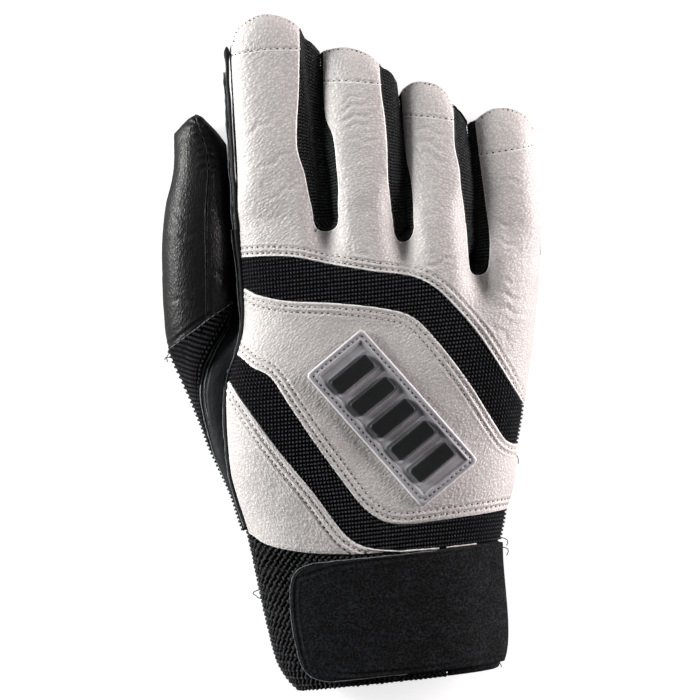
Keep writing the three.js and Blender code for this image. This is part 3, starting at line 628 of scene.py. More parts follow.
class Recipe:
    """The nodes of one finish or one effect, added one after another."""

    def __init__(self, tree):
        self.tree = tree
        tree.nodes.clear()

    def fill(self, port, value):
        if isinstance(value, bpy.types.NodeSocket):
            self.tree.links.new(value, port)
        else:
            port.default_value = value

    def add(self, kind, inputs=None, **settings):
        made = self.tree.nodes.new(kind)
        for key, value in settings.items():
            setattr(made, key, value)
        for key, value in (inputs or {}).items():
            self.fill(made.inputs[key], value)
        return made

    def node(self, kind, inputs=None, **settings):
        return self.add("ShaderNode" + kind, inputs, **settings)

    def sum(self, operation, a, b=0.0, c=0.0, clamp=False):
        return self.node("Math", {0: a, 1: b, 2: c}, operation=operation, use_clamp=clamp).outputs[0]

    def vector(self, operation, a, b=(0, 0, 0)):
        return self.node("VectorMath", {0: a, 1: b}, operation=operation).outputs[0]

    def turned(self, place, angle):
        return self.node("Mapping", {"Vector": place, "Rotation": (0, 0, math.radians(angle))}).outputs[0]

    def noise(self, place, scale, detail, **inputs):
        ports = {"Vector": place, "Scale": scale, "Detail": detail, **inputs}
        return self.node("TexNoise", ports).outputs["Fac"]

    def shrunk(self, place, size):
        """The place divided by a size."""
        scaled = self.vector("SCALE", place)
        self.tree.links.new(self.sum("DIVIDE", 1.0, size), scaled.node.inputs["Scale"])
        return scaled

    def group(self, tree, **inputs):
        """An effect with its inputs. A socket is linked, and a number is set."""
        return self.node("Group", inputs, node_tree=tree)

    def fade(self, value, low, high, start=0.0, end=1.0):
        ports = {"Value": value, "From Min": low, "From Max": high, "To Min": start, "To Max": end}
        return self.node("MapRange", ports, interpolation_type="SMOOTHSTEP").outputs[0]

    def mix(self, share, a, b):
        made = self.node("Mix", data_type="RGBA")
        self.fill(made.inputs[0], share)
        for port, color in ((6, a), (7, b)):
            self.fill(made.inputs[port], color if isinstance(color, bpy.types.NodeSocket) else (*color, 1))
        return made.outputs[2]

    def read(self, name, port="Vector"):
        return self.node("Attribute", attribute_name=name).outputs[port]


def effect(name, inputs, outputs, build):
    """A shader node group. inputs and outputs are names with their kinds: a number, a vector or a colour."""
    group = bpy.data.node_groups.new(name, "ShaderNodeTree")
    recipe = Recipe(group)
    for way, ports in (("INPUT", inputs), ("OUTPUT", outputs)):
        for port, kind in ports.items():
            group.interface.new_socket(name=port, in_out=way, socket_type="NodeSocket" + kind)
    taken = group.nodes.new("NodeGroupInput")
    given = group.nodes.new("NodeGroupOutput")
    for port, value in build(recipe, taken.outputs).items():
        group.links.new(value, given.inputs[port])
    return group


def build_grain(recipe, taken):
    """Pebbles and short creases drawn out along the lay of the leather, with longer folds here and there."""
    scaled = recipe.shrunk(taken["Lay"], taken["Pebble"])
    warp = recipe.node("TexNoise", {"Vector": scaled, "Scale": 0.35, "Detail": 2.0}).outputs["Color"]
    bent = recipe.vector("ADD", scaled, recipe.vector("MULTIPLY", warp, (1.2, 1.2, 1.2)))
    drawn = recipe.vector("MULTIPLY", bent, (0.52, 1.0, 0.8))
    soft = recipe.noise(drawn, 0.5, 1.0, Roughness=0.5)
    cells = recipe.node("TexVoronoi", {"Vector": drawn, "Scale": 1.0}, feature="DISTANCE_TO_EDGE")
    centres = {"Vector": drawn, "Scale": 1.0, "Smoothness": 0.35}
    round_ = recipe.node("TexVoronoi", centres, feature="SMOOTH_F1")
    pebble = recipe.fade(round_.outputs["Distance"], 0.75, 0.05)
    fine = recipe.noise(scaled, 2.4, 3.0, Roughness=0.6)
    fold = recipe.noise(recipe.vector("MULTIPLY", taken["Lay"], (0.16, 0.6, 0.5)), 1.0, 3.0, Roughness=0.6)
    folds = recipe.fade(recipe.sum("ABSOLUTE", recipe.sum("SUBTRACT", fold, 0.5)), 0.0, 0.07)
    where = recipe.noise(taken["Place"], 0.12, 2.0)
    creased = recipe.sum("MULTIPLY", recipe.fade(where, 0.36, 0.6), taken["Fold"])
    height = recipe.sum("MULTIPLY_ADD", pebble, 0.6, recipe.sum("MULTIPLY", fine, 0.1))
    height = recipe.sum("MULTIPLY_ADD", recipe.fade(soft, 0.25, 0.75), 0.16, height)
    height = recipe.sum("MULTIPLY_ADD", folds, creased, height)
    # this mask of the valleys and crease lines is what the leathers darken as painted shade
    valley = recipe.fade(cells.outputs["Distance"], 0.24, 0.02)
    lines = recipe.sum("MULTIPLY", recipe.sum("SUBTRACT", 1.0, folds), creased)
    return {"Height": height, "Pits": recipe.sum("MAXIMUM", valley, lines, clamp=True)}


def build_mottle(recipe, taken):
    """Slow uneven tone over a surface."""
    patches = recipe.noise(recipe.shrunk(taken["Place"], taken["Size"]), 1.0, 5.0, Roughness=0.62)
    return {"Mask": recipe.fade(patches, 0.34, 0.68)}


def build_pale_edge(recipe, taken):
    """A paler line beside a cut edge, uneven in width."""
    uneven = recipe.sum("ADD", recipe.noise(taken["Place"], 0.9, 3.0), 0.5)
    share = recipe.sum("DIVIDE", taken["Edge"], recipe.sum("MULTIPLY", taken["Width"], uneven))
    return {"Mask": recipe.fade(share, 1.0, 0.35)}


def build_yarn(recipe, taken):
    """Fibres twisted slantwise along a yarn, with fluff. Its mask is high where the yarn stands up, for a
    painted highlight.
    """
    scaled = recipe.shrunk(recipe.turned(taken["Lay"], 38), taken["Pitch"])
    twist = recipe.node("TexWave", {"Vector": scaled, "Scale": 0.32, "Distortion": 1.5, "Detail": 2.0})
    fluff = recipe.noise(taken["Place"], 3.2, 4.0)
    height = recipe.sum("MULTIPLY_ADD", twist.outputs["Fac"], 0.6, recipe.sum("MULTIPLY", fluff, 0.5))
    return {"Height": height, "Mask": recipe.fade(height, 0.45, 0.95)}


GRAIN = effect(
    "leather_grain", {"Place": "Vector", "Lay": "Vector", "Pebble": "Float", "Fold": "Float"},
    {"Height": "Float", "Pits": "Float"}, build_grain,
)
MOTTLE = effect("uneven_tone", {"Place": "Vector", "Size": "Float"}, {"Mask": "Float"}, build_mottle)
PALE_EDGE = effect(
    "pale_edge", {"Place": "Vector", "Edge": "Float", "Width": "Float"}, {"Mask": "Float"}, build_pale_edge,
)
YARN = effect(
    "twisted_yarn", {"Place": "Vector", "Lay": "Vector", "Pitch": "Float"},
    {"Height": "Float", "Mask": "Float"}, build_yarn,
)


MATERIALS = {}


def finish(name):
    """A new material, kept in MATERIALS by that name, and the recipe for its nodes."""
    made = bpy.data.materials.new(name)
    made.use_nodes = True
    MATERIALS[name] = made
    return Recipe(made.node_tree)


def shade(recipe, color, roughness, height, depth, **constants):
    """The shader of a finish. depth is how deep its relief is, in mm."""
    bump = recipe.node("Bump", {"Height": height, "Strength": 1.0, "Distance": depth * MM}).outputs[0]
    ports = {"Base Color": color, "Roughness": roughness, "Normal": bump}
    shader = recipe.node("BsdfPrincipled", ports)
    for key, value in constants.items():
        shader.inputs[key.replace("_", " ")].default_value = value
    recipe.tree.links.new(shader.outputs[0], recipe.node("OutputMaterial").inputs[0])


def leather(name, light, dark, edge, flesh, pebble, depth, roughness, fold, edge_width, pits, **constants):
    """Grained leather: its own tone, painted shade in its grain's valleys and crease lines, a pale edge that
    on white leather is partly a painted highlight, and the rough flesh side within.
    """
    recipe = finish(name)
    place = recipe.read("rest")
    grain = recipe.group(GRAIN, Place=place, Lay=recipe.read("lay"), Pebble=pebble, Fold=fold)
    tone = recipe.group(MOTTLE, Place=place, Size=7.0)
    pale_rim = recipe.group(PALE_EDGE, Place=place, Edge=recipe.read("edge", "Fac"), Width=edge_width)
    color = recipe.mix(tone.outputs["Mask"], dark, light)
    # painted shade: darkens the grain's valleys and pressed crease lines
    shadow = recipe.mix(recipe.sum("MULTIPLY", grain.outputs["Pits"], pits), color, [c * 0.35 for c in dark])
    # the pale edge: on white leather partly the raw cut edge's own colour, partly a painted highlight on its
    # rolled lip
    trimmed = recipe.mix(pale_rim.outputs["Mask"], shadow, edge)
    inner = recipe.mix(recipe.read("inside", "Fac"), trimmed, flesh)
    rough = recipe.sum("MULTIPLY_ADD", grain.outputs["Pits"], 0.18, roughness)
    shade(recipe, inner, rough, grain.outputs["Height"], depth, **constants)


def cloth(name, low, high, pitch, depth, **constants):
    """The dark ground of a knit or a webbing, which shows between the yarns laid on it. Its darkness is
    painted shade between the yarns, and the raised twist of its own yarn gets a painted highlight.
    """
    recipe = finish(name)
    place = recipe.read("rest")
    yarn = recipe.group(YARN, Place=place, Lay=recipe.read("lay"), Pitch=pitch)
    tone = recipe.group(MOTTLE, Place=place, Size=3.0)
    patchy = recipe.sum("MULTIPLY_ADD", tone.outputs["Mask"], 0.5, 0.5)
    raised = recipe.sum("MULTIPLY", yarn.outputs["Mask"], patchy)
    # painted highlight on the raised yarn and painted shade in its hollows
    color = recipe.mix(recipe.sum("MULTIPLY_ADD", raised, 0.24, 0.1), low, high)
    rough = recipe.sum("MULTIPLY_ADD", yarn.outputs["Mask"], 0.08, 0.9)
    shade(recipe, color, rough, yarn.outputs["Height"], depth, **constants)


def fuzzy(name, dark, light, speck, depth, roughness, size, **constants):
    """Suede or felt: a short nap with pale specks."""
    recipe = finish(name)
    place = recipe.read("rest")
    nap = recipe.noise(place, 1 / size, 6.0, Roughness=0.7)
    tone = recipe.group(MOTTLE, Place=place, Size=5.0)
    patchy = recipe.sum("MULTIPLY_ADD", tone.outputs["Mask"], 0.5, 0.5)
    color = recipe.mix(recipe.sum("MULTIPLY", patchy, recipe.fade(nap, 0.42, 0.62)), dark, light)
    dust = recipe.node("TexVoronoi", {"Vector": place, "Scale": 1.3}).outputs["Distance"]
    flecked = recipe.mix(recipe.fade(dust, 0.14, 0.06), color, speck)
    rough = recipe.sum("MULTIPLY_ADD", nap, 0.1, roughness)
    shade(recipe, flecked, rough, nap, depth, **constants)


def rubber(name, light, dark, edge, depth, roughness, **constants):
    """Moulded rubber with a faint skin and paler edges."""
    recipe = finish(name)
    place = recipe.read("rest")
    tone = recipe.group(MOTTLE, Place=place, Size=4.0)
    pale_rim = recipe.group(PALE_EDGE, Place=place, Edge=recipe.read("edge", "Fac"), Width=0.7)
    skin = recipe.noise(place, 1.6, 5.0)
    color = recipe.mix(pale_rim.outputs["Mask"], recipe.mix(tone.outputs["Mask"], dark, light), edge)
    rough = recipe.sum("MULTIPLY_ADD", skin, 0.16, roughness)
    shade(recipe, color, rough, skin, depth, **constants)


def thread(name, low, high, roughness=0.7, **constants):
    """Sewing thread, yarn, welt cord or a frayed edge, and the small dark dots of painted shade in the needle
    holes.
    """
    recipe = finish(name)
    fibre = recipe.noise(recipe.node("TexCoord").outputs["Object"], 3000.0, 3.0)
    color = recipe.mix(recipe.fade(fibre, 0.35, 0.65), low, high)
    shade(recipe, color, recipe.sum("MULTIPLY_ADD", fibre, 0.1, roughness), fibre, 0.03, **constants)


# White leather's edge colour is partly the raw cut edge and partly a painted highlight on the rolled lip.
leather(
    "white_leather", light=(0.76, 0.72, 0.70), dark=(0.72, 0.68, 0.665), edge=(0.95, 0.93, 0.91),
    flesh=(0.40, 0.38, 0.36), pebble=0.64, depth=0.18, roughness=0.45, fold=0.2,
    edge_width=0.7, pits=0.42,
)
leather(
    "black_leather", light=(0.007, 0.0074, 0.0074), dark=(0.005, 0.005, 0.005), edge=(0.03, 0.033, 0.036),
    flesh=(0.05, 0.055, 0.06), pebble=0.62, depth=0.1, roughness=0.36, fold=0.08,
    edge_width=0.16, pits=0.4, Specular_IOR_Level=0.3,
)
leather(
    "side_leather", light=(0.022, 0.025, 0.028), dark=(0.014, 0.016, 0.018), edge=(0.10, 0.11, 0.115),
    flesh=(0.05, 0.055, 0.06), pebble=0.6, depth=0.06, roughness=0.5, fold=0.15,
    edge_width=0.3, pits=0.3, Specular_IOR_Level=0.3,
)
# Knit and webbing grounds: low is painted shade between the yarns, high a painted highlight on raised yarn.
cloth(
    "stretch_webbing", low=(0.0015, 0.0015, 0.002), high=(0.006, 0.006, 0.007),
    pitch=0.9, depth=0.12, Specular_IOR_Level=0.15,
)
cloth(
    "finger_knit", low=(0.001, 0.001, 0.001), high=(0.004, 0.0045, 0.0045),
    pitch=0.8, depth=0.1, Specular_IOR_Level=0.15,
)
thread("webbing_yarn", (0.012, 0.0125, 0.014), (0.06, 0.062, 0.07), 0.75, Specular_IOR_Level=0.25)
thread("knit_yarn", (0.01, 0.011, 0.012), (0.085, 0.092, 0.092), 0.8, Specular_IOR_Level=0.3)
cloth(
    "cuff_knit", low=(0.002, 0.002, 0.002), high=(0.012, 0.012, 0.014),
    pitch=0.7, depth=0.12, Specular_IOR_Level=0.2,
)
fuzzy(
    "strap_suede", dark=(0.0005, 0.001, 0.0012), light=(0.024, 0.027, 0.03), speck=(0.09, 0.095, 0.1),
    depth=0.2, roughness=0.9, size=0.75, Specular_IOR_Level=0.2,
)
fuzzy(
    "loop_pile", dark=(0.006, 0.006, 0.007), light=(0.040, 0.040, 0.044), speck=(0.05, 0.05, 0.05),
    depth=0.35, roughness=0.9, size=0.7,
)
fuzzy(
    "hook_tape", dark=(0.008, 0.008, 0.009), light=(0.020, 0.020, 0.022), speck=(0.03, 0.03, 0.03),
    depth=0.08, roughness=0.5, size=0.8,
)
rubber(
    "grey_rubber", light=(0.46, 0.455, 0.485), dark=(0.38, 0.375, 0.405), edge=(0.70, 0.69, 0.71),
    depth=0.06, roughness=0.34, Coat_Weight=0.1,
)
rubber(
    "black_rubber", light=(0.006, 0.0075, 0.008), dark=(0.004, 0.005, 0.0055), edge=(0.02, 0.022, 0.024),
    depth=0.03, roughness=0.42,
)
thread("white_thread", (0.72, 0.68, 0.66), (0.88, 0.85, 0.83))
thread("black_thread", (0.003, 0.003, 0.004), (0.018, 0.018, 0.02), 0.7, Specular_IOR_Level=0.25)
thread("black_welt", (0.003, 0.003, 0.0035), (0.014, 0.015, 0.016), 0.6, Specular_IOR_Level=0.3)
thread("grey_edge", (0.10, 0.11, 0.115), (0.30, 0.32, 0.33), 0.75)
thread("cuff_lumps", (0.004, 0.004, 0.0045), (0.06, 0.062, 0.066), 0.85, Specular_IOR_Level=0.25)
# painted shade: the dark dots that stand for the shade inside the needle holes
thread("needle_hole_shade", (0.006, 0.0055, 0.005), (0.02, 0.018, 0.017), 0.9)


# Repeated marks: stitches, needle holes and yarns


MARK_NUMBERS = ("Pitch", "Shift", "Length", "Width", "Height", "Unevenness")


def mark_tree(name, follow):
    """Ball-shaped marks on points, or evenly along lines. Each lies along its way and faces its up."""
    tree = bpy.data.node_groups.new(name, "GeometryNodeTree")
    recipe = Recipe(tree)
    ports = [("Guide", "Geometry"), *((number, "Float") for number in MARK_NUMBERS), ("Finish", "Material")]
    for port, kind in ports:
        tree.interface.new_socket(name=port, in_out="INPUT", socket_type="NodeSocket" + kind)
    tree.interface.new_socket(name="Marks", in_out="OUTPUT", socket_type="NodeSocketGeometry")
    taken = recipe.add("NodeGroupInput").outputs

    def named(attribute):
        made = recipe.add("GeometryNodeInputNamedAttribute", {"Name": attribute}, data_type="FLOAT_VECTOR")
        return made.outputs["Attribute"]

    points, way = taken["Guide"], named("way")
    if follow:
        curve = recipe.add("GeometryNodeMeshToCurve", {"Mesh": points}).outputs["Curve"]
        evenly = {"Curve": curve, "Length": taken["Pitch"]}
        spread = recipe.add("GeometryNodeResampleCurve", evenly, mode="LENGTH")
        shift = recipe.node("VectorMath", {0: way, "Scale": taken["Shift"]}, operation="SCALE").outputs[0]
        moved = {"Geometry": spread.outputs["Curve"], "Offset": shift}
        points = recipe.add("GeometryNodeSetPosition", moved).outputs["Geometry"]
    along = recipe.add("FunctionNodeAlignRotationToVector", {"Vector": way}, axis="X").outputs[0]
    facing = {"Rotation": along, "Vector": named("up")}
    upright = recipe.add("FunctionNodeAlignRotationToVector", facing, axis="Z", pivot_axis="X").outputs[0]
    ball = recipe.add("GeometryNodeMeshUVSphere", {"Segments": 6, "Rings": 4, "Radius": 0.5}).outputs["Mesh"]
    smooth = recipe.add("GeometryNodeSetShadeSmooth", {"Geometry": ball}).outputs[0]
    smallest = recipe.sum("SUBTRACT", 1.0, taken["Unevenness"])
    drawn = recipe.add("FunctionNodeRandomValue", {2: smallest, 3: 1.0, "Seed": 4}, data_type="FLOAT")
    full = recipe.node("CombineXYZ", {0: taken["Length"], 1: taken["Width"], 2: taken["Height"]}).outputs[0]
    size = recipe.node("VectorMath", {0: full, "Scale": drawn.outputs[1]}, operation="SCALE").outputs[0]
    each = {"Points": points, "Instance": smooth, "Rotation": upright, "Scale": size}
    placed = recipe.add("GeometryNodeInstanceOnPoints", each).outputs[0]
    real = recipe.add("GeometryNodeRealizeInstances", {0: placed}).outputs[0]
    painted = recipe.add("GeometryNodeSetMaterial", {"Geometry": real, "Material": taken["Finish"]})
    recipe.add("NodeGroupOutput", {0: painted.outputs[0]})
    return tree


def marks(name, tree, guide, finish, body, **sizes):
    """The marks of a guide as a plain mesh for its body."""
    modifier = guide.modifiers.new("marks", "NODES")
    modifier.node_group = tree
    ports = {item.name: item.identifier for item in tree.interface.items_tree if item.in_out == "INPUT"}
    for key, value in sizes.items():
        modifier[ports[key]] = float(value)
    modifier[ports["Finish"]] = MATERIALS[finish]
    evaluated = guide.evaluated_get(bpy.context.evaluated_depsgraph_get())
    mesh = bpy.data.meshes.new_from_object(evaluated)
    mesh.name = name
    piece = bpy.data.objects.new(name, mesh)
    bpy.context.scene.collection.objects.link(piece)
    guide.modifiers.remove(modifier)
    return carry(piece, body)


def bare_guide(name, points, edges, ups, ways):
    """A guide for marks: points in mm, each with its up and its way, and the edges that join them."""
    mesh = bpy.data.meshes.new(name)
    mesh.from_pydata((points * MM).tolist(), edges, [])
    for key, value in (("up", ups), ("way", ways)):
        attribute = mesh.attributes.new(key, "FLOAT_VECTOR", "POINT")
        attribute.data.foreach_set("vector", value.astype(np.float32).ravel())
    guide = bpy.data.objects.new(name, mesh)
    bpy.context.scene.collection.objects.link(guide)
    return guide


def guide_lines(name, lines):
    """Lines in mm as a guide."""
    points, ups, ways, edges, at = [], [], [], [], 0
    for line, up in lines:
        way = np.gradient(line, axis=0)
        points.append(line)
        ups.append(up)
        ways.append(way / np.linalg.norm(way, axis=1, keepdims=True))
        edges += [(at + k, at + k + 1) for k in range(len(line) - 1)]
        at += len(line)
    points, ups, ways = map(np.concatenate, (points, ups, ways))
    return bare_guide(name, points, edges, ups, ways)


def place_marks(name, tree, spots, ups, ways, finish, body, sizes, uneven):
    """Marks on points in mm, each with its up and its way."""
    guide = bare_guide("guide", spots, [], ups, ways)
    length, width, height = (size * MM for size in sizes)
    marks(
        name, tree, guide, finish, body,
        Pitch=0, Shift=0, Length=length, Width=width, Height=height, Unevenness=uneven,
    )
    bpy.data.objects.remove(guide)


WEAVE_TREE = mark_tree("weave", False)
YARN_REACH, EDGE_REACH = 0.7, 1.2


def weave(name, face, lay, body, finish, cell, legs, size, uneven=0.15, sink=0.3):
    """Yarns laid on a sheet in cells of its lay.

    legs are the yarns of one cell: their places in it as shares, and the angle at which they run.
    """
    tree = mathutils.kdtree.KDTree(face[..., 0].size)
    flat = lay.reshape(-1, 3) * (1, 1, 0)
    for k, place in enumerate(flat):
        tree.insert(place, k)
    tree.balance()
    low, high = flat.min(0), flat.max(0)
    normal = outward(face).reshape(-1, 3)
    steps = [np.gradient(grid, axis=axis).reshape(-1, 3) for grid in (face, lay) for axis in (1, 0)]
    spots, ups, ways = [], [], []
    for j in range(int(low[1] // cell[1]), int(high[1] // cell[1]) + 1):
        for i in range(int(low[0] // cell[0]) - 1, int(high[0] // cell[0]) + 1):
            for du, dv, angle in legs:
                want = np.array([(i + du) * cell[0], (j + dv) * cell[1]])
                _, k, apart = tree.find((*want, 0))
                if apart > YARN_REACH:
                    continue
                column, row, lay_column, lay_row = (step[k] for step in steps)
                turn = np.linalg.pinv(np.stack([lay_column[:2], lay_row[:2]], axis=1))
                share = turn @ (want - flat[k, :2])
                if np.abs(share).max() > EDGE_REACH:
                    continue
                c, s = math.cos(math.radians(angle)), math.sin(math.radians(angle))
                way = turn @ np.array([c, s])
                way = column * way[0] + row * way[1]
                place = face.reshape(-1, 3)[k] + column * share[0] + row * share[1]
                spots.append(place + normal[k] * (0.5 - sink) * size[2])
                ups.append(normal[k])
                ways.append(way / np.linalg.norm(way))
    place_marks(name, WEAVE_TREE, *map(np.array, (spots, ups, ways)), finish, body, size, uneven)


WEBBING_DOTS = [(0.5, 0.5, 0)]
KNIT_LEGS = [(0.27, 0.5, 62), (0.73, 0.5, -62)]
CUFF_LOOPS = [(0.3, 0.25, 40), (0.8, 0.75, -40)]


def yarns(name, face, lay, body, cell, length=0.76):
    """The crossing yarns of stretch webbing: rows of dots. length is their share of the cell."""
    size = cell[0] * length, cell[1] * 0.74, 0.9
    weave(name, face, lay, body, "webbing_yarn", cell, WEBBING_DOTS, size, sink=0.25)


def loops(name, face, lay, body):
    """Columns of small V loops of a fine knit."""
    weave(name, face, lay, body, "knit_yarn", (1.3, 1.05), KNIT_LEGS, (1.15, 0.56, 0.5), sink=0.35)


# The back of the hand


def seam_on_hand(curve, turn):
    """y where a plan seam crosses each turn round the hand."""
    return settle(np.zeros_like(turn), lambda y: curve(oval(hand_section(y), turn)[0]), 70)


def even_turns(y, start, end, places):
    """Turns at places from 0 to 1 of the way round the hand, measured over its surface at y."""
    fine = np.linspace(start, end, 500)
    reach = reach_along(np.stack(oval(hand_section(y), fine), axis=-1))
    return np.interp(np.asarray(places) * reach[-1], reach, fine)


def leather_relief(strength, angle, strokes=()):
    """Soft swells, narrow wrinkles at an angle and pressed creases, in mm."""
    def relief(face, gap):
        swell = 0.22 * lumps(face, 11, 3) + 0.08 * lumps(face, 4.5, 4)
        fine = 0.075 * wrinkles(face, angle, 7.0, 1.7, 2) + 0.03 * wrinkles(face, angle + 35, 4, 1.1, 9)
        return strength * (swell + fine * (0.6 + 0.4 * lumps(face, 9, 6))) + creases(face, strokes)
    return relief


def grain_lay(face, angle, coarse=1.0):
    """Places along and across a leather's wrinkles, which run at an angle in plan."""
    c, s = math.cos(math.radians(angle)) / coarse, math.sin(math.radians(angle)) / coarse
    x, y, z = np.moveaxis(face, -1, 0)
    return vec(x * c + y * s, y * c - x * s, z / coarse)


def sheet_lay(face):
    """Places across and along a strip of knit, measured from the middle of its first row."""
    across = np.linalg.norm(np.diff(face, axis=1), axis=-1).cumsum(1)
    across = np.concatenate([np.zeros((len(face), 1)), across], axis=1)
    along = np.linalg.norm(np.diff(face, axis=0), axis=-1).cumsum(0).mean(1)
    along = np.concatenate([[0.0], along])[:, None]
    return vec(across - across[:, -1:] / 2, np.broadcast_to(along, across.shape), 0.0)


def back_grid(low, high, turns, rows):
    y = lerp(seam_on_hand(low, turns), seam_on_hand(high, turns), np.asarray(rows)[:, None])
    return hand_point(y, np.broadcast_to(turns, y.shape))


def make_centre_panel():
    turns = even_turns(-20, BACK_TURN, WRAP_TURN, stops(132, 0.45))
    face = back_grid(lower_band_top, upper_band_bottom, turns, stops(38, 0.42))
    panel(
        "centre_panel", face, "hand", "white_leather", ["centre_panel"],
        rows=[("high", 1.7), ("high", 3.6), ("low", 1.8), ("low", 3.8)], relief=leather_relief(0.55, 35),
        lay=grain_lay(face, 35),
    )


def make_corner_panel():
    end = turn_at(hand_section(-69.0), 0.0)
    turns = even_turns(-40, BACK_TURN, end, stops(62, 0.42))

    def band_seam(x):
        return np.maximum(lower_band_bottom(x), heel_seam(x) + 0.3)

    face = back_grid(heel_seam, band_seam, turns, stops(40, 0.42))
    panel(
        "corner_panel", face, "hand", "white_leather", ["corner_panel"],
        rows=[("high", 1.9), ("high", 3.9)], groove=0.32,
        relief=leather_relief(1.0, -50), lay=grain_lay(face, -50),
    )


def make_band(name, low, high, low_y, rows):
    """A stretch band, which dips under the leather on both sides."""
    turns = even_turns(low_y, BACK_TURN, WRAP_TURN, np.linspace(0, 1, 270))
    share = np.concatenate([[-0.035, 0.0], np.linspace(0.012, 0.988, rows), [1.0, 1.035]])[:, None]
    y = lerp(seam_on_hand(low, turns) - 0.2, seam_on_hand(high, turns) + 0.2, share)
    inset = 0.62 + 0.75 * (1 - smoothstep(np.minimum(share, 1 - share), -0.03, 0.03))
    turn = np.broadcast_to(turns, y.shape)
    face = hand_point(y, turn, np.broadcast_to(inset, y.shape))
    lay = vec(reach_along(hand_point(np.full(turns.shape, low_y), turns)), y, 0.0)
    crown = 0.35 * np.sin(np.pi * np.clip(share, 0, 1)) ** 0.5
    panel(
        name, face, "hand", "stretch_webbing", [name], thickness=1.0, roll=0.3, cut=(), lay=lay,
        relief=lambda points, gap: crown,
    )
    yarns(f"{name}_yarns", face + hand_normal(y, turn) * crown[..., None], lay, "hand", (1.15, 1.3))


def root_span(name):
    """The two sides of a finger's back leather at its root, as turns round the hand."""
    sleeve = FINGERS[name]
    section = hand_section(sleeve.root)
    ends = [edge and turn_at(section, edge(sleeve.root)) for edge in sleeve.edges]
    return BACK_TURN if ends[0] is None else ends[0], WRAP_TURN if ends[1] is None else ends[1]


ROOT_PLACES = {name: stops(width, 0.42) for name, width in
               (("index", 29.0), ("middle", 19.5), ("ring", 19.0), ("little", 31.0))}
NOTCHES = [
    [(-11.4, 42), (-11.1, 40.4), (-10.2, 39), (-7.5, 38.2), (-4.9, 38.9), (-3.8, 40.3), (-3.4, 42)],
    [(14.7, 42), (14.75, 38), (14.9, 34.9), (15.7, 32.8), (17.3, 32), (19.3, 32.6), (20.6, 34.3), (21.2, 36)],
    [
        (38.8, 36), (38.7, 30), (38.3, 24), (38.5, 20.6), (39.3, 19), (41, 18.4), (43.1, 18.9), (44.4, 20.6),
        (45, 23),
    ],
]
# Where the columns that end at each root or notch start, as plan x on the seam of the upper band
FOOT = [None, -12.2, -3.2, 12.4, 20.6, 32.4, 44.2, None]
NOTCH_FOOT = [-7.5, 17.0, 40.8]


def smooth_line(points, step):
    """A smooth line through points."""
    points = np.asarray(points, float)
    at = reach_along(points)
    fine = np.linspace(0, at[-1], max(8, int(at[-1] / step)) + 1)
    return np.stack([profile(np.stack([at, points[:, k]], 1))(fine) for k in range(points.shape[1])], axis=1)


def knuckle_columns():
    """For each column of the knuckle panel: turn and y at its top, turn at its foot, and if it ends cut."""
    top, foot, cut = [], [], []

    def foot_turn(x):
        y = upper_band_top(x)
        return turn_at(hand_section(y), x)

    feet = [BACK_TURN, *[foot_turn(x) for x in FOOT[1:-1]], WRAP_TURN]
    for k, name in enumerate(FINGERS):
        places = ROOT_PLACES[name][(1 if k else 0):]
        left, right = root_span(name)
        top += [(lerp(left, right, p), FINGERS[name].root) for p in places]
        foot += [lerp(feet[2 * k], feet[2 * k + 1], p) for p in places]
        cut += [False] * len(places)
        if k < 3:
            line = smooth_line(NOTCHES[k], 0.4)
            turns = turn_at(hand_section(line[:, 1]), line[:, 0])
            middle = foot_turn(NOTCH_FOOT[k])
            lowest = line[:, 1].argmin()
            share = np.linspace(0, 1, lowest + 1)
            rest = np.linspace(0, 1, len(line) - lowest)
            down, climb = lerp(feet[2 * k + 1], middle, share), lerp(middle, feet[2 * k + 2], rest)
            ends = np.concatenate([down, climb[1:]])
            top += list(zip(turns[1:], line[1:, 1]))
            foot += list(ends[1:])
            cut[-1] = True
            cut += [True] * (len(line) - 1)
    return np.array(top), np.array(foot), np.array(cut)


KNUCKLE_CREASES = [
    (22, 22, 36, 26, 0.22, 0.7), (46, 12, 56, 8, 0.25, 0.8), (44, 8, 58, 2, 0.2, 0.9),
    (47, 16, 57, 14, 0.25, 0.7), (-2, 33, 6, 27, 0.15, 0.8), (43, 3, 50, -6, 0.15, 0.9),
]


def make_knuckle_panel():
    top, foot, cut = knuckle_columns()
    rows = stops(34, 0.5)[:, None]
    low = seam_on_hand(upper_band_top, foot)
    turn, y = lerp(foot, top[:, 0], rows), lerp(low, top[:, 1], rows)
    face = hand_point(y, turn)
    notch = np.concatenate([face[-1][cut], face[0], face[:, 0], face[:, -1]])
    relief = leather_relief(0.8, 20, KNUCKLE_CREASES)
    panel(
        "knuckle_panel", face, "hand", "white_leather", ["knuckle_panel"],
        rows=[("low", 1.1), ("low", 3.1)], relief=relief, edges=notch, normal=hand_normal(y, turn),
        lay=grain_lay(face, 20),
    )


# Fingers

FINGER_CREASES = {
    "index": [(-30, 60, -16, 66, 0.16, 0.8), (-33, 72, -20, 78, 0.14, 0.8), (-28, 50, -14, 55, 0.14, 0.8)],
    "middle": [
        (-1, 77, 14, 80.5, 0.2, 0.6), (-3, 74, 15, 76, 0.22, 0.6), (-2, 71.5, 13, 72.5, 0.18, 0.6),
        (0, 68, 14, 66, 0.16, 0.7), (1, 80.5, 12, 83, 0.14, 0.5),
    ],
    "ring": [
        (22, 68, 36, 60, 0.26, 0.7), (23, 64, 36, 55.5, 0.24, 0.7), (24, 71, 37, 65, 0.2, 0.6),
        (24, 59, 33, 52, 0.16, 0.7),
    ],
    "little": [(47, 30, 56, 26, 0.22, 0.7), (47, 36, 55, 33, 0.18, 0.7), (50, 50, 62, 46, 0.18, 0.8)],
}
GRAIN_ANGLE = {"index": 32, "middle": 8, "ring": -32, "little": 20}
GRAIN_SIZE = {"index": 1.3, "middle": 1.1, "ring": 1.1, "little": 1.1}


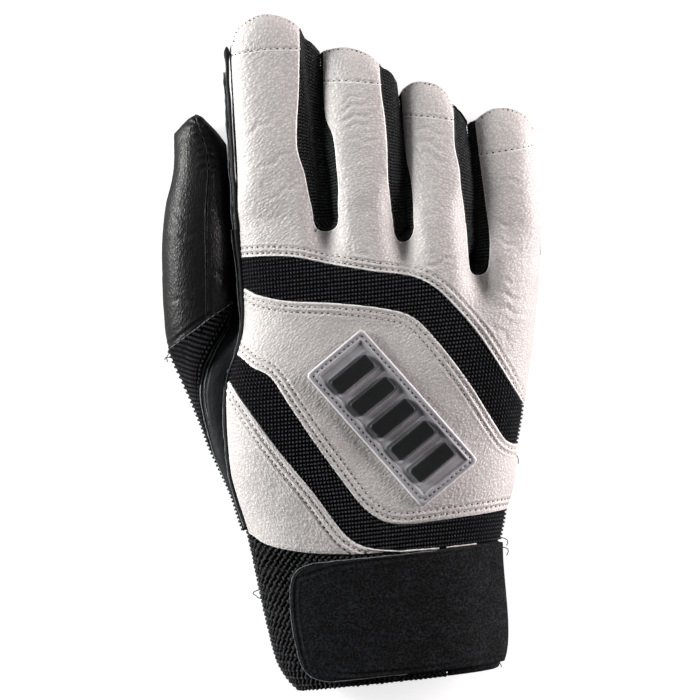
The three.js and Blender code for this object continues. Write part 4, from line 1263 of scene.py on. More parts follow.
def sleeve_grid(name, low, high, shares, places, span, hand_span=None):
    """A strip of a finger between two lines. hand_span gives the two turns where it leaves the hand."""
    sleeve = FINGERS[name]
    y, face = sleeve.strip(low, high, shares, places, span)
    if hand_span is None:
        return face
    on_hand = hand_point(y, np.broadcast_to(lerp(*hand_span, np.asarray(places)), y.shape))
    return lerp(on_hand, face, smoothstep(y, sleeve.root, sleeve.root + 15)[..., None])


def root_line_of(name):
    return lambda x: FINGERS[name].root + 0 * x


def back_span(name):
    sleeve = FINGERS[name]
    return lambda y: (sleeve.seam(-1, y), sleeve.seam(1, y))


def palm_span(name):
    sleeve = FINGERS[name]
    return lambda y: (sleeve.seam(1, y, True), 360 + sleeve.seam(-1, y, True))


def wall_span(name, side):
    sleeve = FINGERS[name]
    if side > 0:
        return lambda y: (sleeve.seam(1, y) + 0.5, sleeve.seam(1, y, True) - 0.5)
    return lambda y: (sleeve.seam(-1, y, True) + 0.5, sleeve.seam(-1, y) - 0.5)


def tip_relief(face, gap):
    ripples = np.cos(2 * np.pi * (face[..., 0] + 0.4 * face[..., 1]) / 2.4) * np.exp(-gap / 2.2)
    return 0.5 * leather_relief(0.6, 70)(face, gap) + 0.09 * ripples


def make_finger(name):
    sleeve = FINGERS[name]
    cap = float(sleeve.cap(sleeve.middle())) - sleeve.root
    places = ROOT_PLACES[name]
    angle = GRAIN_ANGLE[name]
    shares = stops(cap, 0.42, (False, True))
    below, above = (lambda x: sleeve.cap(x) - 0.02), (lambda x: sleeve.cap(x) + 0.02)
    back = sleeve_grid(name, root_line_of(name), below, shares, places, back_span(name), root_span(name))
    panel(
        f"{name}_back", back, name, "white_leather", [f"{name}_back"], cut=("left", "right"), roll=0.5,
        relief=leather_relief(0.9, angle, FINGER_CREASES[name]), lay=grain_lay(back, angle, GRAIN_SIZE[name]),
    )
    tip = sleeve_grid(name, above, sleeve.rim, over_dome(22, 0.38), places, back_span(name))
    panel(
        f"{name}_tip", tip, name, "white_leather", [f"{name}_tip"], roll=0.5,
        rows=[("low", 0.9)], relief=tip_relief, lay=grain_lay(tip, 55, 1.2),
    )
    whip_stitches(name, tip)
    make_front(name)
    make_walls(name)


def whip_stitches(name, tip):
    """The dark overcast stitches just inside the rim of a fingertip, as seen from above."""
    gap, _ = nearest(tip * (1, 1, 0), resample(tip[-1], 0.2) * (1, 1, 0))
    row = np.argmin(np.abs(gap - 0.75), axis=0)
    columns = np.arange(3, tip.shape[1] - 3)
    line, up = tip[row[columns], columns], outward(tip)[row[columns], columns]
    joined = resample(np.concatenate([line, up], axis=1), 0.25)
    Sewing.add(name, "rim", joined[:, :3], joined[:, 3:], 1.5)


def rim_reach(name):
    sleeve = FINGERS[name]
    return float(sleeve.rim(sleeve.middle())) - sleeve.root


def make_front(name):
    sleeve = FINGERS[name]
    shares = up_the_sleeve(rim_reach(name), sleeve.dome, 0.6)
    face = sleeve_grid(name, root_line_of(name), sleeve.rim, shares, stops(34, 0.6), palm_span(name))
    sides = ("left", "right")
    panel(
        f"{name}_front", face, name, "black_leather", [f"{name}_front"], cut=(*sides, "high"), roll=0.5,
        rows=[(side, 1.3) for side in sides], thread="black_thread", relief=leather_relief(1.1, 5),
        lay=grain_lay(face, 20),
    )


def wall_grid(name, side, shares):
    """A knit wall of a finger. Its upper side hangs from the edge of the back leather."""
    sleeve = FINGERS[name]
    lines = root_line_of(name), sleeve.rim
    down = np.linspace(0, 1, 42)
    face = sleeve_grid(name, *lines, shares, down, wall_span(name, side))
    leather_edge = sleeve_grid(name, *lines, shares, np.array([0.0, 1.0]), back_span(name), root_span(name))
    hem = leather_edge[:, 1 if side > 0 else 0]
    under = 1 - smoothstep(hem[:, 1], sleeve.rim(hem[:, 0]) - 4, sleeve.rim(hem[:, 0]))
    hem = hem + np.array([-0.5 * side, 0, -0.75]) * under[:, None]
    down, own = (down, face[:, 0]) if side > 0 else (down[::-1], face[:, -1])
    face = face + (hem - own)[:, None] * (1 - smoothstep(down, 0, 0.6))[None, :, None]
    return face + vec(wall_swell(name, side, face[..., 1], down), 0.0, 0.0)


def wall_swell(name, side, y, down):
    """How far a wall swells sideways to meet its neighbour.

    An outer wall does where the next finger is close, and the little finger's inner one near its root.
    """
    if side < 0 and name == "little":
        return -1.2 * smoothstep(y, 21, 23.5) * (1 - smoothstep(y, 30, 35)) * bell(down, 0.6, 0.3)
    if side < 0 or name == "little":
        return 0 * y
    names = list(FINGERS)
    after = FINGERS[names[names.index(name) + 1]]
    room = after.left(np.maximum(y, after.root)) - FINGERS[name].right(y) + 0.2
    low = smoothstep(room, 2.8, 1.9) * np.clip(room, 0, 1.9)
    return low * smoothstep(after.rim(after.left(60.0)) - y, 1, 8) * bell(down, 0.6, 0.2)


def make_walls(name):
    sleeve = FINGERS[name]
    shares = up_the_sleeve(rim_reach(name), sleeve.dome, 0.46)
    for side, label in ((-1, "thumb_side"), (1, "outer_side")):
        if sleeve.edges[0 if side < 0 else 1] is None:
            continue
        face = wall_grid(name, side, shares)
        lay = sheet_lay(face)
        wall = f"{name}_wall_{label}"
        panel(wall, face, name, "finger_knit", [wall], thickness=1.0, cut=(), lay=lay)
        loops(f"{name}_loops_{label}", face, lay, name)


WEB_CLIMB = (3.2, 3.2, 4.5)


def make_crotch_web(k):
    """The knit between two fingers, folded down round a notch. Its ends match the walls of both fingers."""
    before, after = list(FINGERS)[k : k + 2]
    line = smooth_line(NOTCHES[k], 0.3)
    turns = turn_at(hand_section(line[:, 1]), line[:, 0])
    rim = hand_point(line[:, 1], turns, 0.75)
    left = wall_grid(before, 1, np.array([0.0, 0.01]))[0]
    right = wall_grid(after, -1, np.array([0.0, 0.01]))[0][::-1]
    share = smoothstep(np.linspace(0, 1, len(line)), 0.2, 0.8)[None, :, None]
    hang = lerp((left - left[0])[:, None], (right - right[0])[:, None], share)
    down = np.linspace(0, 1, len(left))[:, None]
    level = np.clip(1 - (line[:, 1] - line[:, 1].min()) / 3.5, 0, 1)
    hang = hang + vec(0.0, WEB_CLIMB[k] * level * np.sin(np.pi / 2 * down) ** 0.8, 0.0)
    start = lerp(left[0], right[0], share[0])
    ends = np.linspace(0, 1, len(line))[:, None]
    near = 1 - smoothstep(np.minimum(ends, 1 - ends), 0, 0.12)
    face = lerp(rim, vec(start[:, 0], rim[:, 1], start[:, 2]), near) + hang
    lay = vec(reach_along(rim), np.broadcast_to(down * 14, face.shape[:2]), 0.0)
    wall = f"crotch_wall_{k + 1}"
    panel(wall, face, "hand", "finger_knit", [wall], thickness=0.9, cut=(), lay=lay)
    loops(f"crotch_loops_{k + 1}", face, lay, "hand")


# Thumb, gusset and side strip


def thumb_grid(start, end, rows, places, lift=0.0):
    """A strip of the thumb between two turns, from its base seam to the rim of its tip."""
    base, span = (lambda x: thumb_base_y(x) + 0.15), (lambda y: (start(y), end(y)))
    return THUMB.strip(base, THUMB.rim, rows, places, span, lift)[1]


THUMB_CREASES = [
    (-60, 52, -52, 47, 0.15, 1.0), (-61, 45, -50, 40, 0.15, 1.2), (-62, 22, -55, 18, 0.15, 1.0),
    (-50, 30, -42, 26, 0.15, 1.1), (-49, 62, -41, 66, 0.15, 0.8),
]


def thumb_relief(face, gap):
    """Folds, and puckers beside the crease where it nears the tip."""
    crease = thumb_grid(crease_turn, crease_turn, np.linspace(0.5, 1, 80), [0.0])[:, 0]
    pucker = np.cos(2 * np.pi * face[..., 1] / 2.6 + 1.2 * lumps(face, 6, 8))
    pucker = pucker * bell(nearest(face, crease)[0], 0.0, 2.2)
    fade = smoothstep(face[..., 1], 56, 70)
    swell = 0.5 * smoothstep(face[..., 0], -42.5, -39.5) * smoothstep(face[..., 1], 14, 26)
    swell = swell * (1 - smoothstep(face[..., 1], 60, 67))
    return leather_relief(0.8, 60, THUMB_CREASES)(face, gap) + 0.4 * pucker * fade + swell


crease_turn = profile([[0, 8], [50, 14], [57, 16], [63, 16], [70, 11], [75, 4], [79, -1], [82, -6]])


def make_thumb():
    rows = up_the_sleeve(70, THUMB.dome, 0.5)
    halves = (
        ("thumb_outer", lambda y: CREASE_TURN - 179.2 + 0 * y, lambda y: crease_turn(y) - 0.35),
        ("thumb_inner", crease_turn, lambda y: CREASE_TURN + 180 + 0 * y),
    )
    for name, start, end in halves:
        face = thumb_grid(start, end, rows, stops(40, 0.5))
        normal = outward(face)
        last = normal[-16]
        astray = (normal[-15:] * last).sum(-1, keepdims=True) < 0.2
        normal[-15:] = np.where(astray, last, normal[-15:])
        panel(
            name, face, "thumb", "black_leather", [name], roll=0.6, normal=normal,
            rows=[("low", 1.5)], thread="black_thread", relief=thumb_relief, lay=grain_lay(face, 75),
        )


def make_gusset():
    """The thumb's gusset. Its yarns run across it, level with its seam to the side strip."""
    places = np.linspace(-0.02, 0.985, 60)

    def base_seam(y):
        return np.minimum(thumb_base_y(gusset_point(y, places)[:, 0]), 17.0)

    end = settle(np.full(places.shape, 10.0), base_seam, 60)
    rows = np.linspace(0, 1, 120)[:, None]
    y = lerp(-58.0, end + 0.4, rows)
    place = np.broadcast_to(places, y.shape)
    face = gusset_point(y, place)
    step = np.diff(face, axis=1)
    step = np.maximum(0.75 * np.linalg.norm(step, axis=-1), np.abs(step[..., 0]))
    across = np.concatenate([np.zeros((len(face), 1)), step.cumsum(1)], axis=1)
    lay = vec(across - across[:, -1:], y + 0.2 * (face[..., 0] - face[:, -1:, 0]), 0.0)
    panel(
        "thumb_gusset", face, "hand", "stretch_webbing", ["thumb_gusset"], thickness=1.0, roll=0.2, cut=(),
        lay=lay, relief=lambda points, gap: 0.25 * lumps(points, 8, 2),
    )
    raised = face + 0.25 * outward(face) * lumps(face, 8, 2)[..., None]
    yarns("thumb_gusset_yarns", raised, lay, "hand", (1.45, 1.4), 0.62)


def strip_point(y, c):
    """The side strip's face from the gusset seam at c 0 to the back of the hand at c 1."""
    seam = vec(gusset_x(y) + 0.4, y, gusset_z(y) + 0.5)
    top = hand_point(y, BACK_TURN - 3.0, 0.3)
    bulge = 1.4 * np.sin(np.pi * c) * (1 - smoothstep(y, -12, 12))
    return lerp(seam, top, np.asarray(c)[..., None]) + vec(-0.7, 0, 0.7) * np.asarray(bulge)[..., None]


HAND_TOP = 41.9


def make_side_strip():
    y = lerp(-57.0, HAND_TOP, stops(100, 0.5, (True, False)))[:, None]
    places = stops(9, 0.4)[None, :]
    face = strip_point(*np.broadcast_arrays(y, places))
    panel(
        "side_strip", face, "hand", "side_leather", ["side_strip"], cut=("left", "right"), roll=0.5,
        rows=[("left", 1.5)], thread="black_thread", relief=leather_relief(0.7, 75), groove=0.3,
    )


def wobble(line, size, amount, seed):
    """The line with small random bends."""
    return line + amount * vec(lumps(line, size, seed), lumps(line, size, seed + 1), 0.0)


def raw_edge(line, radius, seed):
    """A frayed pale edge: a strand whose thickness changes."""
    line = wobble(resample(line, 0.5), 3.5, 0.16, seed)
    return tube(line, radius * (1 + 0.45 * lumps(line, 1.2, seed + 2)), 6)


def make_hand_cord():
    """The cord along the hand's back where it meets the side strip, and that strip's raw edge."""
    y = np.arange(-57, 42.3, 0.5)
    on_hand = hand_point(y, BACK_TURN - 2.0, -0.15) - vec(0.6 * smoothstep(y, 24, 42), 0, 0)
    thin = lerp(0.34, 0.8, smoothstep(y, -8, 30))
    strands("hand_welt", [tube(wobble(on_hand, 6, 0.12, 61), thin, 10)], "hand", "black_welt")
    pale = hand_point(y[y < 41], BACK_TURN - 3.5, -0.45 - 0.35 * smoothstep(y[y < 41], -8, 30))
    strands("hand_welt_edges", [raw_edge(pale, 0.2, 62)], "hand", "grey_edge")


def make_index_cords():
    """The cord and the leather strip beside the index finger. The strip runs on along the hand."""
    index = FINGERS["index"]
    along = np.arange(0, 58.2, 0.5)
    lines, spans = (root_line_of("index"), index.rim), (back_span("index"), root_span("index"))
    side = sleeve_grid("index", *lines, along / 58.5, np.array([0.0]), *spans)[:, 0]
    swell = 0.62 + 0.45 * bell(along, 56.4, 1.1) - 0.5 * smoothstep(along, 57.2, 58.2)
    side = side - vec(0.7 * smoothstep(side[:, 1], 46, 66), 0, 0)
    cord = wobble(side + vec(-0.75, 0, 0.0), 6, 0.14, 64)
    strands("index_welt", [tube(cord, swell, 10)], "index", "black_welt")
    strip = wobble(side[:-12] + vec(-1.75, 0, -0.35), 5, 0.2, 70)
    ragged = 0.5 * (1 + 0.3 * lumps(strip, 2.0, 69)) * (1 - 0.75 * smoothstep(along[:-12], 49.5, 52))
    strands("index_strip", [tube(strip, ragged, 8)], "index", "black_welt")
    y = np.arange(5, 42.3, 0.5)
    outward_by = 1.6 * smoothstep(y, 4, 20) + 0.7 * smoothstep(y, 24, 42)
    lower = hand_point(y, BACK_TURN - 2.0, 0.2) - vec(outward_by, 0, 0.35)
    strands("hand_strip", [tube(wobble(lower, 5, 0.2, 83), 0.5, 8)], "hand", "black_welt")
    strands("hand_strip_edges", [raw_edge(lower + vec(-0.3, 0, 0.42), 0.13, 84)], "hand", "grey_edge")
    near, far = strip + vec(0.3, 0, 0.42), strip + vec(-0.32, 0, 0.36)
    strands("index_welt_edges", [raw_edge(near, 0.12, 65), raw_edge(far, 0.12, 68)], "index", "grey_edge")


def make_seam_edges():
    """The raw edges along the gusset's seam and the thumb's base seam."""
    y = np.arange(-57, 16.5, 0.5)
    seam = vec(gusset_x(y) + 0.1, y, gusset_z(y) + 0.75)
    inner = vec(gusset_x(y) + 1.3, y, gusset_z(y) + 1.5)
    edges = [raw_edge(seam, 0.26, 71), raw_edge(inner[20:], 0.14, 72)]
    strands("gusset_seam_edges", edges, "hand", "grey_edge")
    base = thumb_grid(lambda y: -150 + 0 * y, lambda y: 60 + 0 * y, [0.0], np.linspace(0, 1, 120), -0.22)[0]
    strands("thumb_seam_edge", [raw_edge(base, 0.17, 75)], "hand", "grey_edge")


# Palm


def root_y(x):
    """Where the palm leather ends under each finger."""
    return HAND_TOP - 6 * smoothstep(x, 18.35, 18.45) - 13 * smoothstep(x, 41.35, 41.45)


PALM_FOLDS = [
    (-36, 8, 44, -2, 0.7, 1.3), (-30, 20, 30, 12, 0.5, 1.1), (-22, -2, -8, -52, 0.6, 1.5),
    (8, -40, 36, -46, 0.4, 1.1),
]


def palm_relief(face, gap):
    """Swells, wrinkles and the long bowed folds of a hand's palm."""
    x, y = face[..., 0], face[..., 1]
    total = 0.35 * lumps(face, 14, 12) + 0.12 * wrinkles(face, 12, 10, 2.6, 14)
    total = total + 0.08 * wrinkles(face, -40, 9, 2.2, 15)
    for *ends, depth, width in PALM_FOLDS:
        length, along, off = beside_stroke(x, y, *ends)
        off = off + 3.5 * np.sin(along / length * np.pi)
        fade = smoothstep(along, 0, 8) * (1 - smoothstep(along, length - 8, length))
        total = total - depth * fade * bell(off, 0.0, width)
    return np.minimum(total, 0.25)


def make_palm():
    """The palm leather, round the hand from the little finger's side and then flat to the gusset."""
    side = even_turns(-20, WRAP_TURN + 2, 180, stops(60, 0.95, (True, False)))
    share = np.linspace(0, 1, 58)[1:]
    rows = stops(105, 0.95)

    def edge_x(y):
        edge = gusset_point(np.clip(y, -58, 8), 0.0)[..., 0] + 1.8
        return lerp(lerp(-36.5, edge, smoothstep(y, -64, -57)), -38.2, smoothstep(y, 14, 26))

    def finger_end(y):
        first = oval(hand_section(y[: len(side)]), side)[0]
        start = (hand_left(y[len(side):]) + hand_right(y[len(side):])) / 2
        rest = lerp(start, edge_x(y[len(side):]), share)
        return root_y(np.concatenate([first, rest]))

    top = settle(np.full(len(side) + len(share), HAND_TOP), finger_end, 60)
    y = lerp(-64.0, top, rows[:, None])
    left = hand_point(y[:, : len(side)], np.broadcast_to(side, (len(rows), len(side))))
    here = y[:, len(side):]
    under = hand_point(here, np.full(here.shape, 180.0))
    x = lerp(under[..., 0], edge_x(here), share)
    rise = PALM_RISE * smoothstep(here, root_line(x) - 30, root_line(x) + 2)
    right = vec(x, here, rise)
    face = np.concatenate([left, right], axis=1)
    panel(
        "palm_panel", face, "hand", "black_leather", ["palm_panel"], cut=("left", "right", "low"),
        rows=[("low", 1.8), ("left", 1.8), ("right", 2.0)], thread="black_thread", relief=palm_relief,
    )


# Cuff and strap


CUFF_HEM, CUFF_MIDDLE = -113, -92


def cuff_grid(start, end, high, columns, rows, inset):
    """A part of the cuff between two turns, from its hem up to a seam, or to one y."""
    turns = even_turns(CUFF_MIDDLE, start, end, np.linspace(0, 1, columns))
    top = seam_on_hand(high, turns) if callable(high) else np.full(turns.shape, high)
    y = lerp(CUFF_HEM, top, np.linspace(0, 1, rows)[:, None])
    return hand_point(y, np.broadcast_to(turns, y.shape), inset)


def make_cuff():
    def bulge(face, gap):
        y = face[..., 1]
        return 0.25 * np.cos(2 * np.pi * y / 7.2) * smoothstep(y, -112, -106) + 0.2 * lumps(face, 9, 21)

    elastic = cuff_grid(-140, 24, heel_seam, 210, 80, 1.1)
    panel("cuff_elastic", elastic, "hand", "cuff_knit", ["cuff_elastic"], thickness=1.5, cut=(), relief=bulge)
    outer = cuff_grid(25, 118, -70.5, 96, 60, 0.4)
    panel("cuff_outer", outer, "hand", "strap_suede", ["cuff_outer"], thickness=2.0, roll=0.8, relief=bulge)
    heel = cuff_grid(120, 218, -64.4, 98, 62, 0.45)
    panel(
        "cuff_heel", heel, "hand", "strap_suede", ["cuff_heel"], thickness=2.0, roll=0.8,
        rows=[("high", 2.0), ("low", 2.0)], thread="black_thread",
    )
    knit_lumps(elastic)


tab_edge = profile([
    [-110.6, -18], [-110.3, -20.6], [-109.4, -23.6], [-107.8, -25.8], [-105.4, -27.4], [-99, -28.8],
    [-88, -29.6], [-80, -29.2], [-75, -28], [-72.6, -26.4], [-71.8, -25], [-71.2, -22.6], [-70.9, -20],
])


STRAP_THICKNESS = 1.8


def strap_lift(turn):
    """The strap's face off the hand, as a negative inset. It stands least off it at its sewn end."""
    return -lerp(0.3, 2.6, smoothstep(-turn, -58, -20)) - STRAP_THICKNESS


def make_strap():
    y = lerp(-110.6, -70.9, stops(39.7, 0.4))[:, None]
    start = turn_at(hand_section(y[:, 0]), tab_edge(y[:, 0]))[:, None]
    places = stops(80, 0.4)[None, :]
    turn = lerp(start, 74.0, places)
    face = hand_point(np.broadcast_to(y, turn.shape), turn, strap_lift(turn))

    def felt(points, gap):
        return 0.16 * lumps(points, 13, 31) + 0.05 * lumps(points, 2.4, 32)

    round_end = [(tab_edge(y) + 1.7, y) for y in np.arange(-105.5, -75.4, 1.5)]
    plan = smooth_line([(33.0, -108.9), (-12.0, -108.9), *round_end, (-12.0, -72.6), (33.0, -72.6)], 0.3)
    turns = turn_at(hand_section(plan[:, 1]), plan[:, 0])
    seam = hand_point(plan[:, 1], turns, strap_lift(turns))
    panel(
        "wrist_strap", face, "strap", "strap_suede", ["wrist_strap"], thickness=STRAP_THICKNESS, roll=0.8,
        relief=felt, rows=[("line", seam)], thread="black_thread", pitch=1.9, groove=0.3,
    )
    border = np.concatenate([face[0, 60:0:-1], face[:, 0], face[-1, 1:90]]) + vec(0.0, 0.0, -0.25)
    strands("strap_edge", [raw_edge(border, 0.13, 78)], "strap", "grey_edge")
    x = np.arange(-5, 31.5, 0.5)
    y = lower_band_bottom(x) - 0.35
    piping = hand_point(y, turn_at(hand_section(y), x), -0.1)
    edges = [raw_edge(piping[:48], 0.3, 80), raw_edge(piping[52:], 0.26, 81)]
    strands("lining_edge", edges, "hand", "white_thread")


def patch_grid(turns, low, high, inset):
    y = lerp(low, high, np.linspace(0, 1, 60))[:, None]
    turn = even_turns(CUFF_MIDDLE, *turns, np.linspace(0, 1, 70))[None, :]
    return hand_point(*np.broadcast_arrays(y, turn), inset)


def make_patches():
    loop = patch_grid((-40, 8), -107, -74, -0.9)
    panel(
        "loop_patch", loop, "hand", "loop_pile", ["loop_patch"], thickness=1.0, roll=0.4,
        rows=[("low", 1.5), ("high", 1.5), ("left", 1.5), ("right", 1.5)], thread="black_thread",
        relief=lambda points, gap: 0.18 * lumps(points, 1.1, 41),
    )
    hook = patch_grid((-38, -6), -105, -76, -2.3)
    panel("hook_patch", hook, "strap", "hook_tape", ["hook_patch"], thickness=0.55, roll=0.2)


# Badge

BADGE_CENTRE, BADGE_TURN = (7.4, -25.9), -55.5
PLATE_LENGTH, PLATE_WIDTH, PLATE_LIFT = 29, 12, 1.55
BAR_LENGTH, BAR_WIDTH, BAR_LIFT = 2.8, 7.5, 2.6
BAR_PITCH = 9.6


def badge_to_hand(along, across, lift):
    """A place on the badge, lifted off the leather by so many mm."""
    c, s = math.cos(math.radians(BADGE_TURN)), math.sin(math.radians(BADGE_TURN))
    x = BADGE_CENTRE[0] + along * c - across * s
    y = BADGE_CENTRE[1] + along * s + across * c
    return hand_point(y, turn_at(hand_section(y), x), -np.asarray(lift))


def rounded_plate(half_length, half_width, corner, step, centre=0.0):
    """Places on a rectangle with rounded corners, as a grid."""
    long = lerp(-half_length, half_length, stops(2 * half_length, step))[None, :]
    wide = lerp(-half_width, half_width, stops(2 * half_width, step))[:, None]
    long, wide = np.broadcast_arrays(long, wide)
    over_l = np.maximum(np.abs(long) - (half_length - corner), 0)
    over_w = np.maximum(np.abs(wide) - (half_width - corner), 0)
    square, round_ = np.maximum(over_l, over_w), np.hypot(over_l, over_w)
    pull = np.where(round_ > 0, square / np.maximum(round_, 1e-9), 1.0)
    both = (over_l > 0) & (over_w > 0)
    long = np.where(both, np.sign(long) * (half_length - corner + over_l * pull), long)
    wide = np.where(both, np.sign(wide) * (half_width - corner + over_w * pull), wide)
    return long + centre, wide


def make_badge():
    """The moulded plate with a rim round its field and round each bar, and five plain bars on it."""
    along, across = rounded_plate(PLATE_LENGTH, PLATE_WIDTH, 1.8, 0.35)
    inset = np.minimum(PLATE_LENGTH - np.abs(along), PLATE_WIDTH - np.abs(across))
    field = -0.35 * smoothstep(inset, 2.9, 3.3) + 0.14 * bell(inset, 2.6, 0.35)
    bars = [(k - 2) * BAR_PITCH for k in range(5)]
    for middle in bars:
        gap = np.hypot(np.maximum(np.abs(along - middle) - 2.4, 0), np.maximum(np.abs(across) - 7.1, 0))
        field = field + 0.25 * bell(gap, 1.25, 0.28)
    face = badge_to_hand(along, across, PLATE_LIFT)
    corner = np.radians(np.linspace(0, 90, 7))
    quarter = np.stack([26.1 + 1.2 * np.sin(corner), 9.1 + 1.2 * np.cos(corner)], axis=1)
    flips = [(1, 1, 1), (1, -1, -1), (-1, -1, 1), (-1, 1, -1), (1, 1, 1)]
    ring = np.concatenate([quarter[::way] * (a, b) for a, b, way in flips])[3:-3]
    seam = badge_to_hand(*resample(ring, 0.2).T, PLATE_LIFT)
    panel(
        "badge_plate", face, "hand", "grey_rubber", ["badge_plate"], thickness=1.2, roll=0.7,
        rows=[("line", seam)], groove=0.28, pitch=1.9,
        relief=lambda points, gap: field + 0.03 * lumps(points, 3, 51),
    )
    for k, middle in enumerate(bars):
        bar = f"badge_bar_{k + 1}"
        face = badge_to_hand(*rounded_plate(BAR_LENGTH, BAR_WIDTH, 1.2, 0.3, middle), BAR_LIFT)
        panel(bar, face, "hand", "black_rubber", [bar], thickness=1.2, roll=0.45)


# Loose threads, sewing and the cuff's knit


LOOSE_ENDS = (
    ((39.2, -69.6, 13), (43.0, -70.2, 13.5), (41.2, -72.5, 13)),
    ((39.2, -72.9, 12), (43.0, -73.2, 12), (40.9, -75.8, 13)),
    ((34.8, -105.0, 12), (37.5, -103.8, 12), (38.3, -105.6, 12.5)),
    ((33.5, -108.1, 12), (36.6, -106.6, 12), (37.3, -108.5, 11)),
    ((32.8, -110.4, 12), (35.8, -111.4, 12), (35.2, -112.9, 12)),
    ((46.6, -42.2, 14), (48.6, -42.6, 14), (48.0, -45.7, 13)),
    ((-41.3, -78.5, 12), (-46.6, -79.0, 12), (-43.9, -80.4, 12)),
    ((-43.9, -80.4, 12), (-43.2, -81.6, 12), (-41.5, -81.8, 12)),
    ((-63.2, 3.6, 9), (-66.0, 3.0, 9), (-65.2, 0.4, 9)),
    ((-63.4, 1.6, 9), (-66.4, 2.6, 9), (-66.0, 1.0, 9)),
    ((-10.2, 39.6, 25), (-10.8, 39.0, 26), (-11.6, 37.9, 25)),
)


def make_loose_threads():
    """Short ends of thread at the raw edges, each from its start past a bend to its tip."""
    t = np.linspace(0, 1, 9)[:, None]
    ends = []
    for start, bend, tip in np.array(LOOSE_ENDS):
        line = (1 - t) ** 2 * start + 2 * t * (1 - t) * bend + t**2 * tip
        ends.append(tube(line, 0.16, 6))
    strands("loose_threads", ends, "hand", "knit_yarn")


THREAD_SIZES = {
    "white_thread": (1.3, 0.5, 0.4), "black_thread": (1.35, 0.42, 0.36), "rim": (0.66, 1.5, 0.4),
}
HOLE_SIZE = {"Length": 0.74 * MM, "Width": 0.66 * MM, "Height": 0.42 * MM}


def sew_everything():
    """The stitches of every row that waits. White ones lie between their needle holes."""
    tree = mark_tree("stitch_row", True)
    for (body, thread, pitch), lines in Sewing.rows.items():
        guide = guide_lines(f"guide_{body}_{thread}", lines)
        length, width, height = (size * MM for size in THREAD_SIZES[thread])
        finish = "black_thread" if thread == "rim" else thread
        name = f"{body}_{thread}_{int(pitch * 10)}"
        marks(
            f"stitches_{name}", tree, guide, finish, body, Pitch=pitch * MM, Shift=0,
            Length=length, Width=width, Height=height, Unevenness=0.6 if thread == "rim" else 0.12,
        )
        if thread == "white_thread":
            # dark dots of painted shade in the needle holes, between the white stitches
            marks(
                f"holes_{name}", tree, guide, "needle_hole_shade", body, Pitch=pitch * MM, Shift=pitch / 2 * MM,
                Unevenness=0.3, **HOLE_SIZE,
            )
        bpy.data.objects.remove(guide)


def knit_lumps(face):
    """The twisted loops that stand out of the cuff's elastic, in slanting rows."""
    across = np.broadcast_to(reach_along(face[len(face) // 2]), face.shape[:2])
    along = np.broadcast_to(reach_along(face[:, face.shape[1] // 2])[:, None], face.shape[:2])
    lay = vec(across, along, 0.0)
    cell, size = (1.9, 2.5), (2.3, 1.3, 1.5)
    weave("cuff_knit_lumps", face, lay, "hand", "cuff_lumps", cell, CUFF_LOOPS, size, uneven=0.3)


# Stage


TURN_COS, TURN_SIN = 0.9945, 0.1045
PICTURE_WIDTH, LENS, SENSOR = 0.2333, 300, 36
FLOOR_HALF, FLOOR_Z = 2, -0.0004
LAMPS = (
    ("key", 0.5, 31.0, (-1.2, 0.5, 0.25), (1, 1, 0.985)),
    ("fill", 0.7, 34.0, (1.2, 0.2, 0.15), (1, 0.93, 0.93)),
    ("top", 1.0, 1.0, (-0.1, 0.9, 1.1), (1, 1, 1)),
)


def camera_sees(recipe):
    """1 for a ray from the camera, or one that it sees through glass, and 0 for light on the object."""
    path = recipe.node("LightPath")
    return recipe.sum("MAXIMUM", path.outputs["Is Camera Ray"], path.outputs["Is Transmission Ray"])


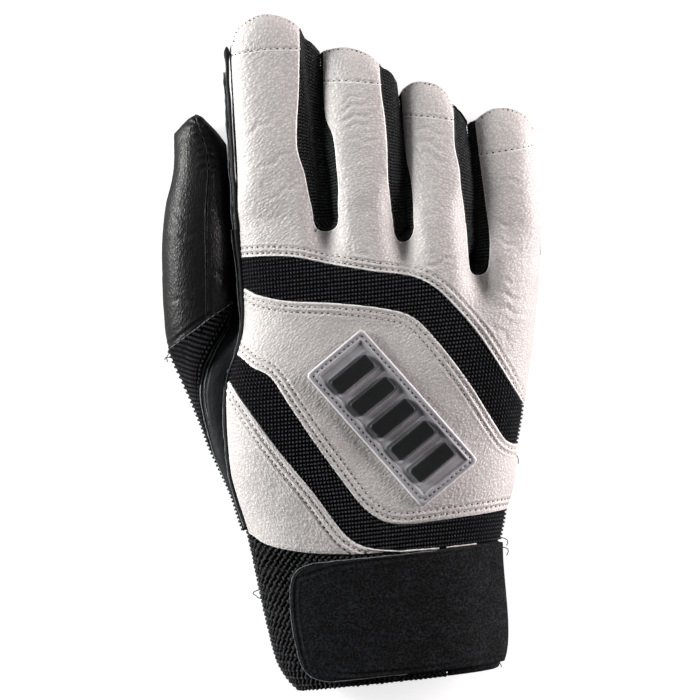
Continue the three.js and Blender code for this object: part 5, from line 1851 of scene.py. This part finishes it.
def make_stage():
    """The camera, turned a little about its view as in the photograph, three soft lamps and a pale floor."""
    scene = bpy.context.scene
    scene.view_settings.view_transform = "Standard"
    camera = bpy.data.objects.new("camera", bpy.data.cameras.new("camera"))
    camera.data.lens, camera.data.sensor_width = LENS, SENSOR
    camera.data.clip_start, camera.data.clip_end = 0.05, 20
    away = PICTURE_WIDTH / SENSOR * LENS + 0.02
    camera.matrix_world = Matrix((
        (TURN_COS, TURN_SIN, 0, -0.004), (-TURN_SIN, TURN_COS, 0, -0.002), (0, 0, 1, away), (0, 0, 0, 1),
    ))
    scene.collection.objects.link(camera)
    scene.camera = camera

    world = bpy.data.worlds.new("studio")
    scene.world = world
    world.use_nodes = True
    recipe = Recipe(world.node_tree)
    seen = camera_sees(recipe)
    plain = recipe.node("Background", {"Color": (1, 1, 1, 1), "Strength": 1.0})
    soft = recipe.node("Background", {"Color": (0.96, 0.98, 1.0, 1), "Strength": 0.06})
    both = recipe.node("MixShader", {0: seen, 1: soft.outputs[0], 2: plain.outputs[0]})
    recipe.tree.links.new(both.outputs[0], recipe.node("OutputWorld").inputs[0])

    for name, size, power, place, color in LAMPS:
        lamp = bpy.data.lights.new(name, "AREA")
        lamp.shape, lamp.size, lamp.energy, lamp.color = "SQUARE", size, power, color
        light = bpy.data.objects.new(name, lamp)
        back = np.array(place) / np.linalg.norm(place)
        right = np.cross([0, 1, 0], back)
        right /= np.linalg.norm(right)
        matrix = np.eye(4)
        matrix[:3] = np.stack([right, np.cross(back, right), back, place], axis=1)
        light.matrix_world = Matrix(matrix.tolist())
        scene.collection.objects.link(light)

    ground = bpy.data.meshes.new("floor")
    corners = [(a * FLOOR_HALF, b * FLOOR_HALF, FLOOR_Z) for a, b in ((-1, -1), (1, -1), (1, 1), (-1, 1))]
    ground.from_pydata(corners, [], [(0, 1, 2, 3)])
    floor = bpy.data.objects.new("floor", ground)
    scene.collection.objects.link(floor)
    recipe = finish("floor_paper")
    seen = camera_sees(recipe)
    paper = recipe.node("BsdfDiffuse", {"Color": (0.9, 0.9, 0.9, 1)})
    glow = recipe.node("Emission", {"Color": (1, 1, 1, 1), "Strength": recipe.sum("MULTIPLY", seen, 0.72)})
    both = recipe.node("AddShader", {0: paper.outputs[0], 1: glow.outputs[0]})
    recipe.tree.links.new(both.outputs[0], recipe.node("OutputMaterial").inputs[0])
    ground.materials.append(MATERIALS["floor_paper"])


def main():
    make_stage()
    make_centre_panel()
    make_corner_panel()
    make_band("upper_stretch_band", upper_band_bottom, upper_band_top, 0.0, 28)
    make_band("lower_stretch_band", lower_band_bottom, lower_band_top, -40.0, 44)
    make_knuckle_panel()
    for name in FINGERS:
        make_finger(name)
    for k in range(3):
        make_crotch_web(k)
    make_thumb()
    make_gusset()
    make_hand_cord()
    make_index_cords()
    make_seam_edges()
    make_side_strip()
    make_palm()
    make_cuff()
    make_strap()
    make_patches()
    make_badge()
    make_loose_threads()
    sew_everything()


main()
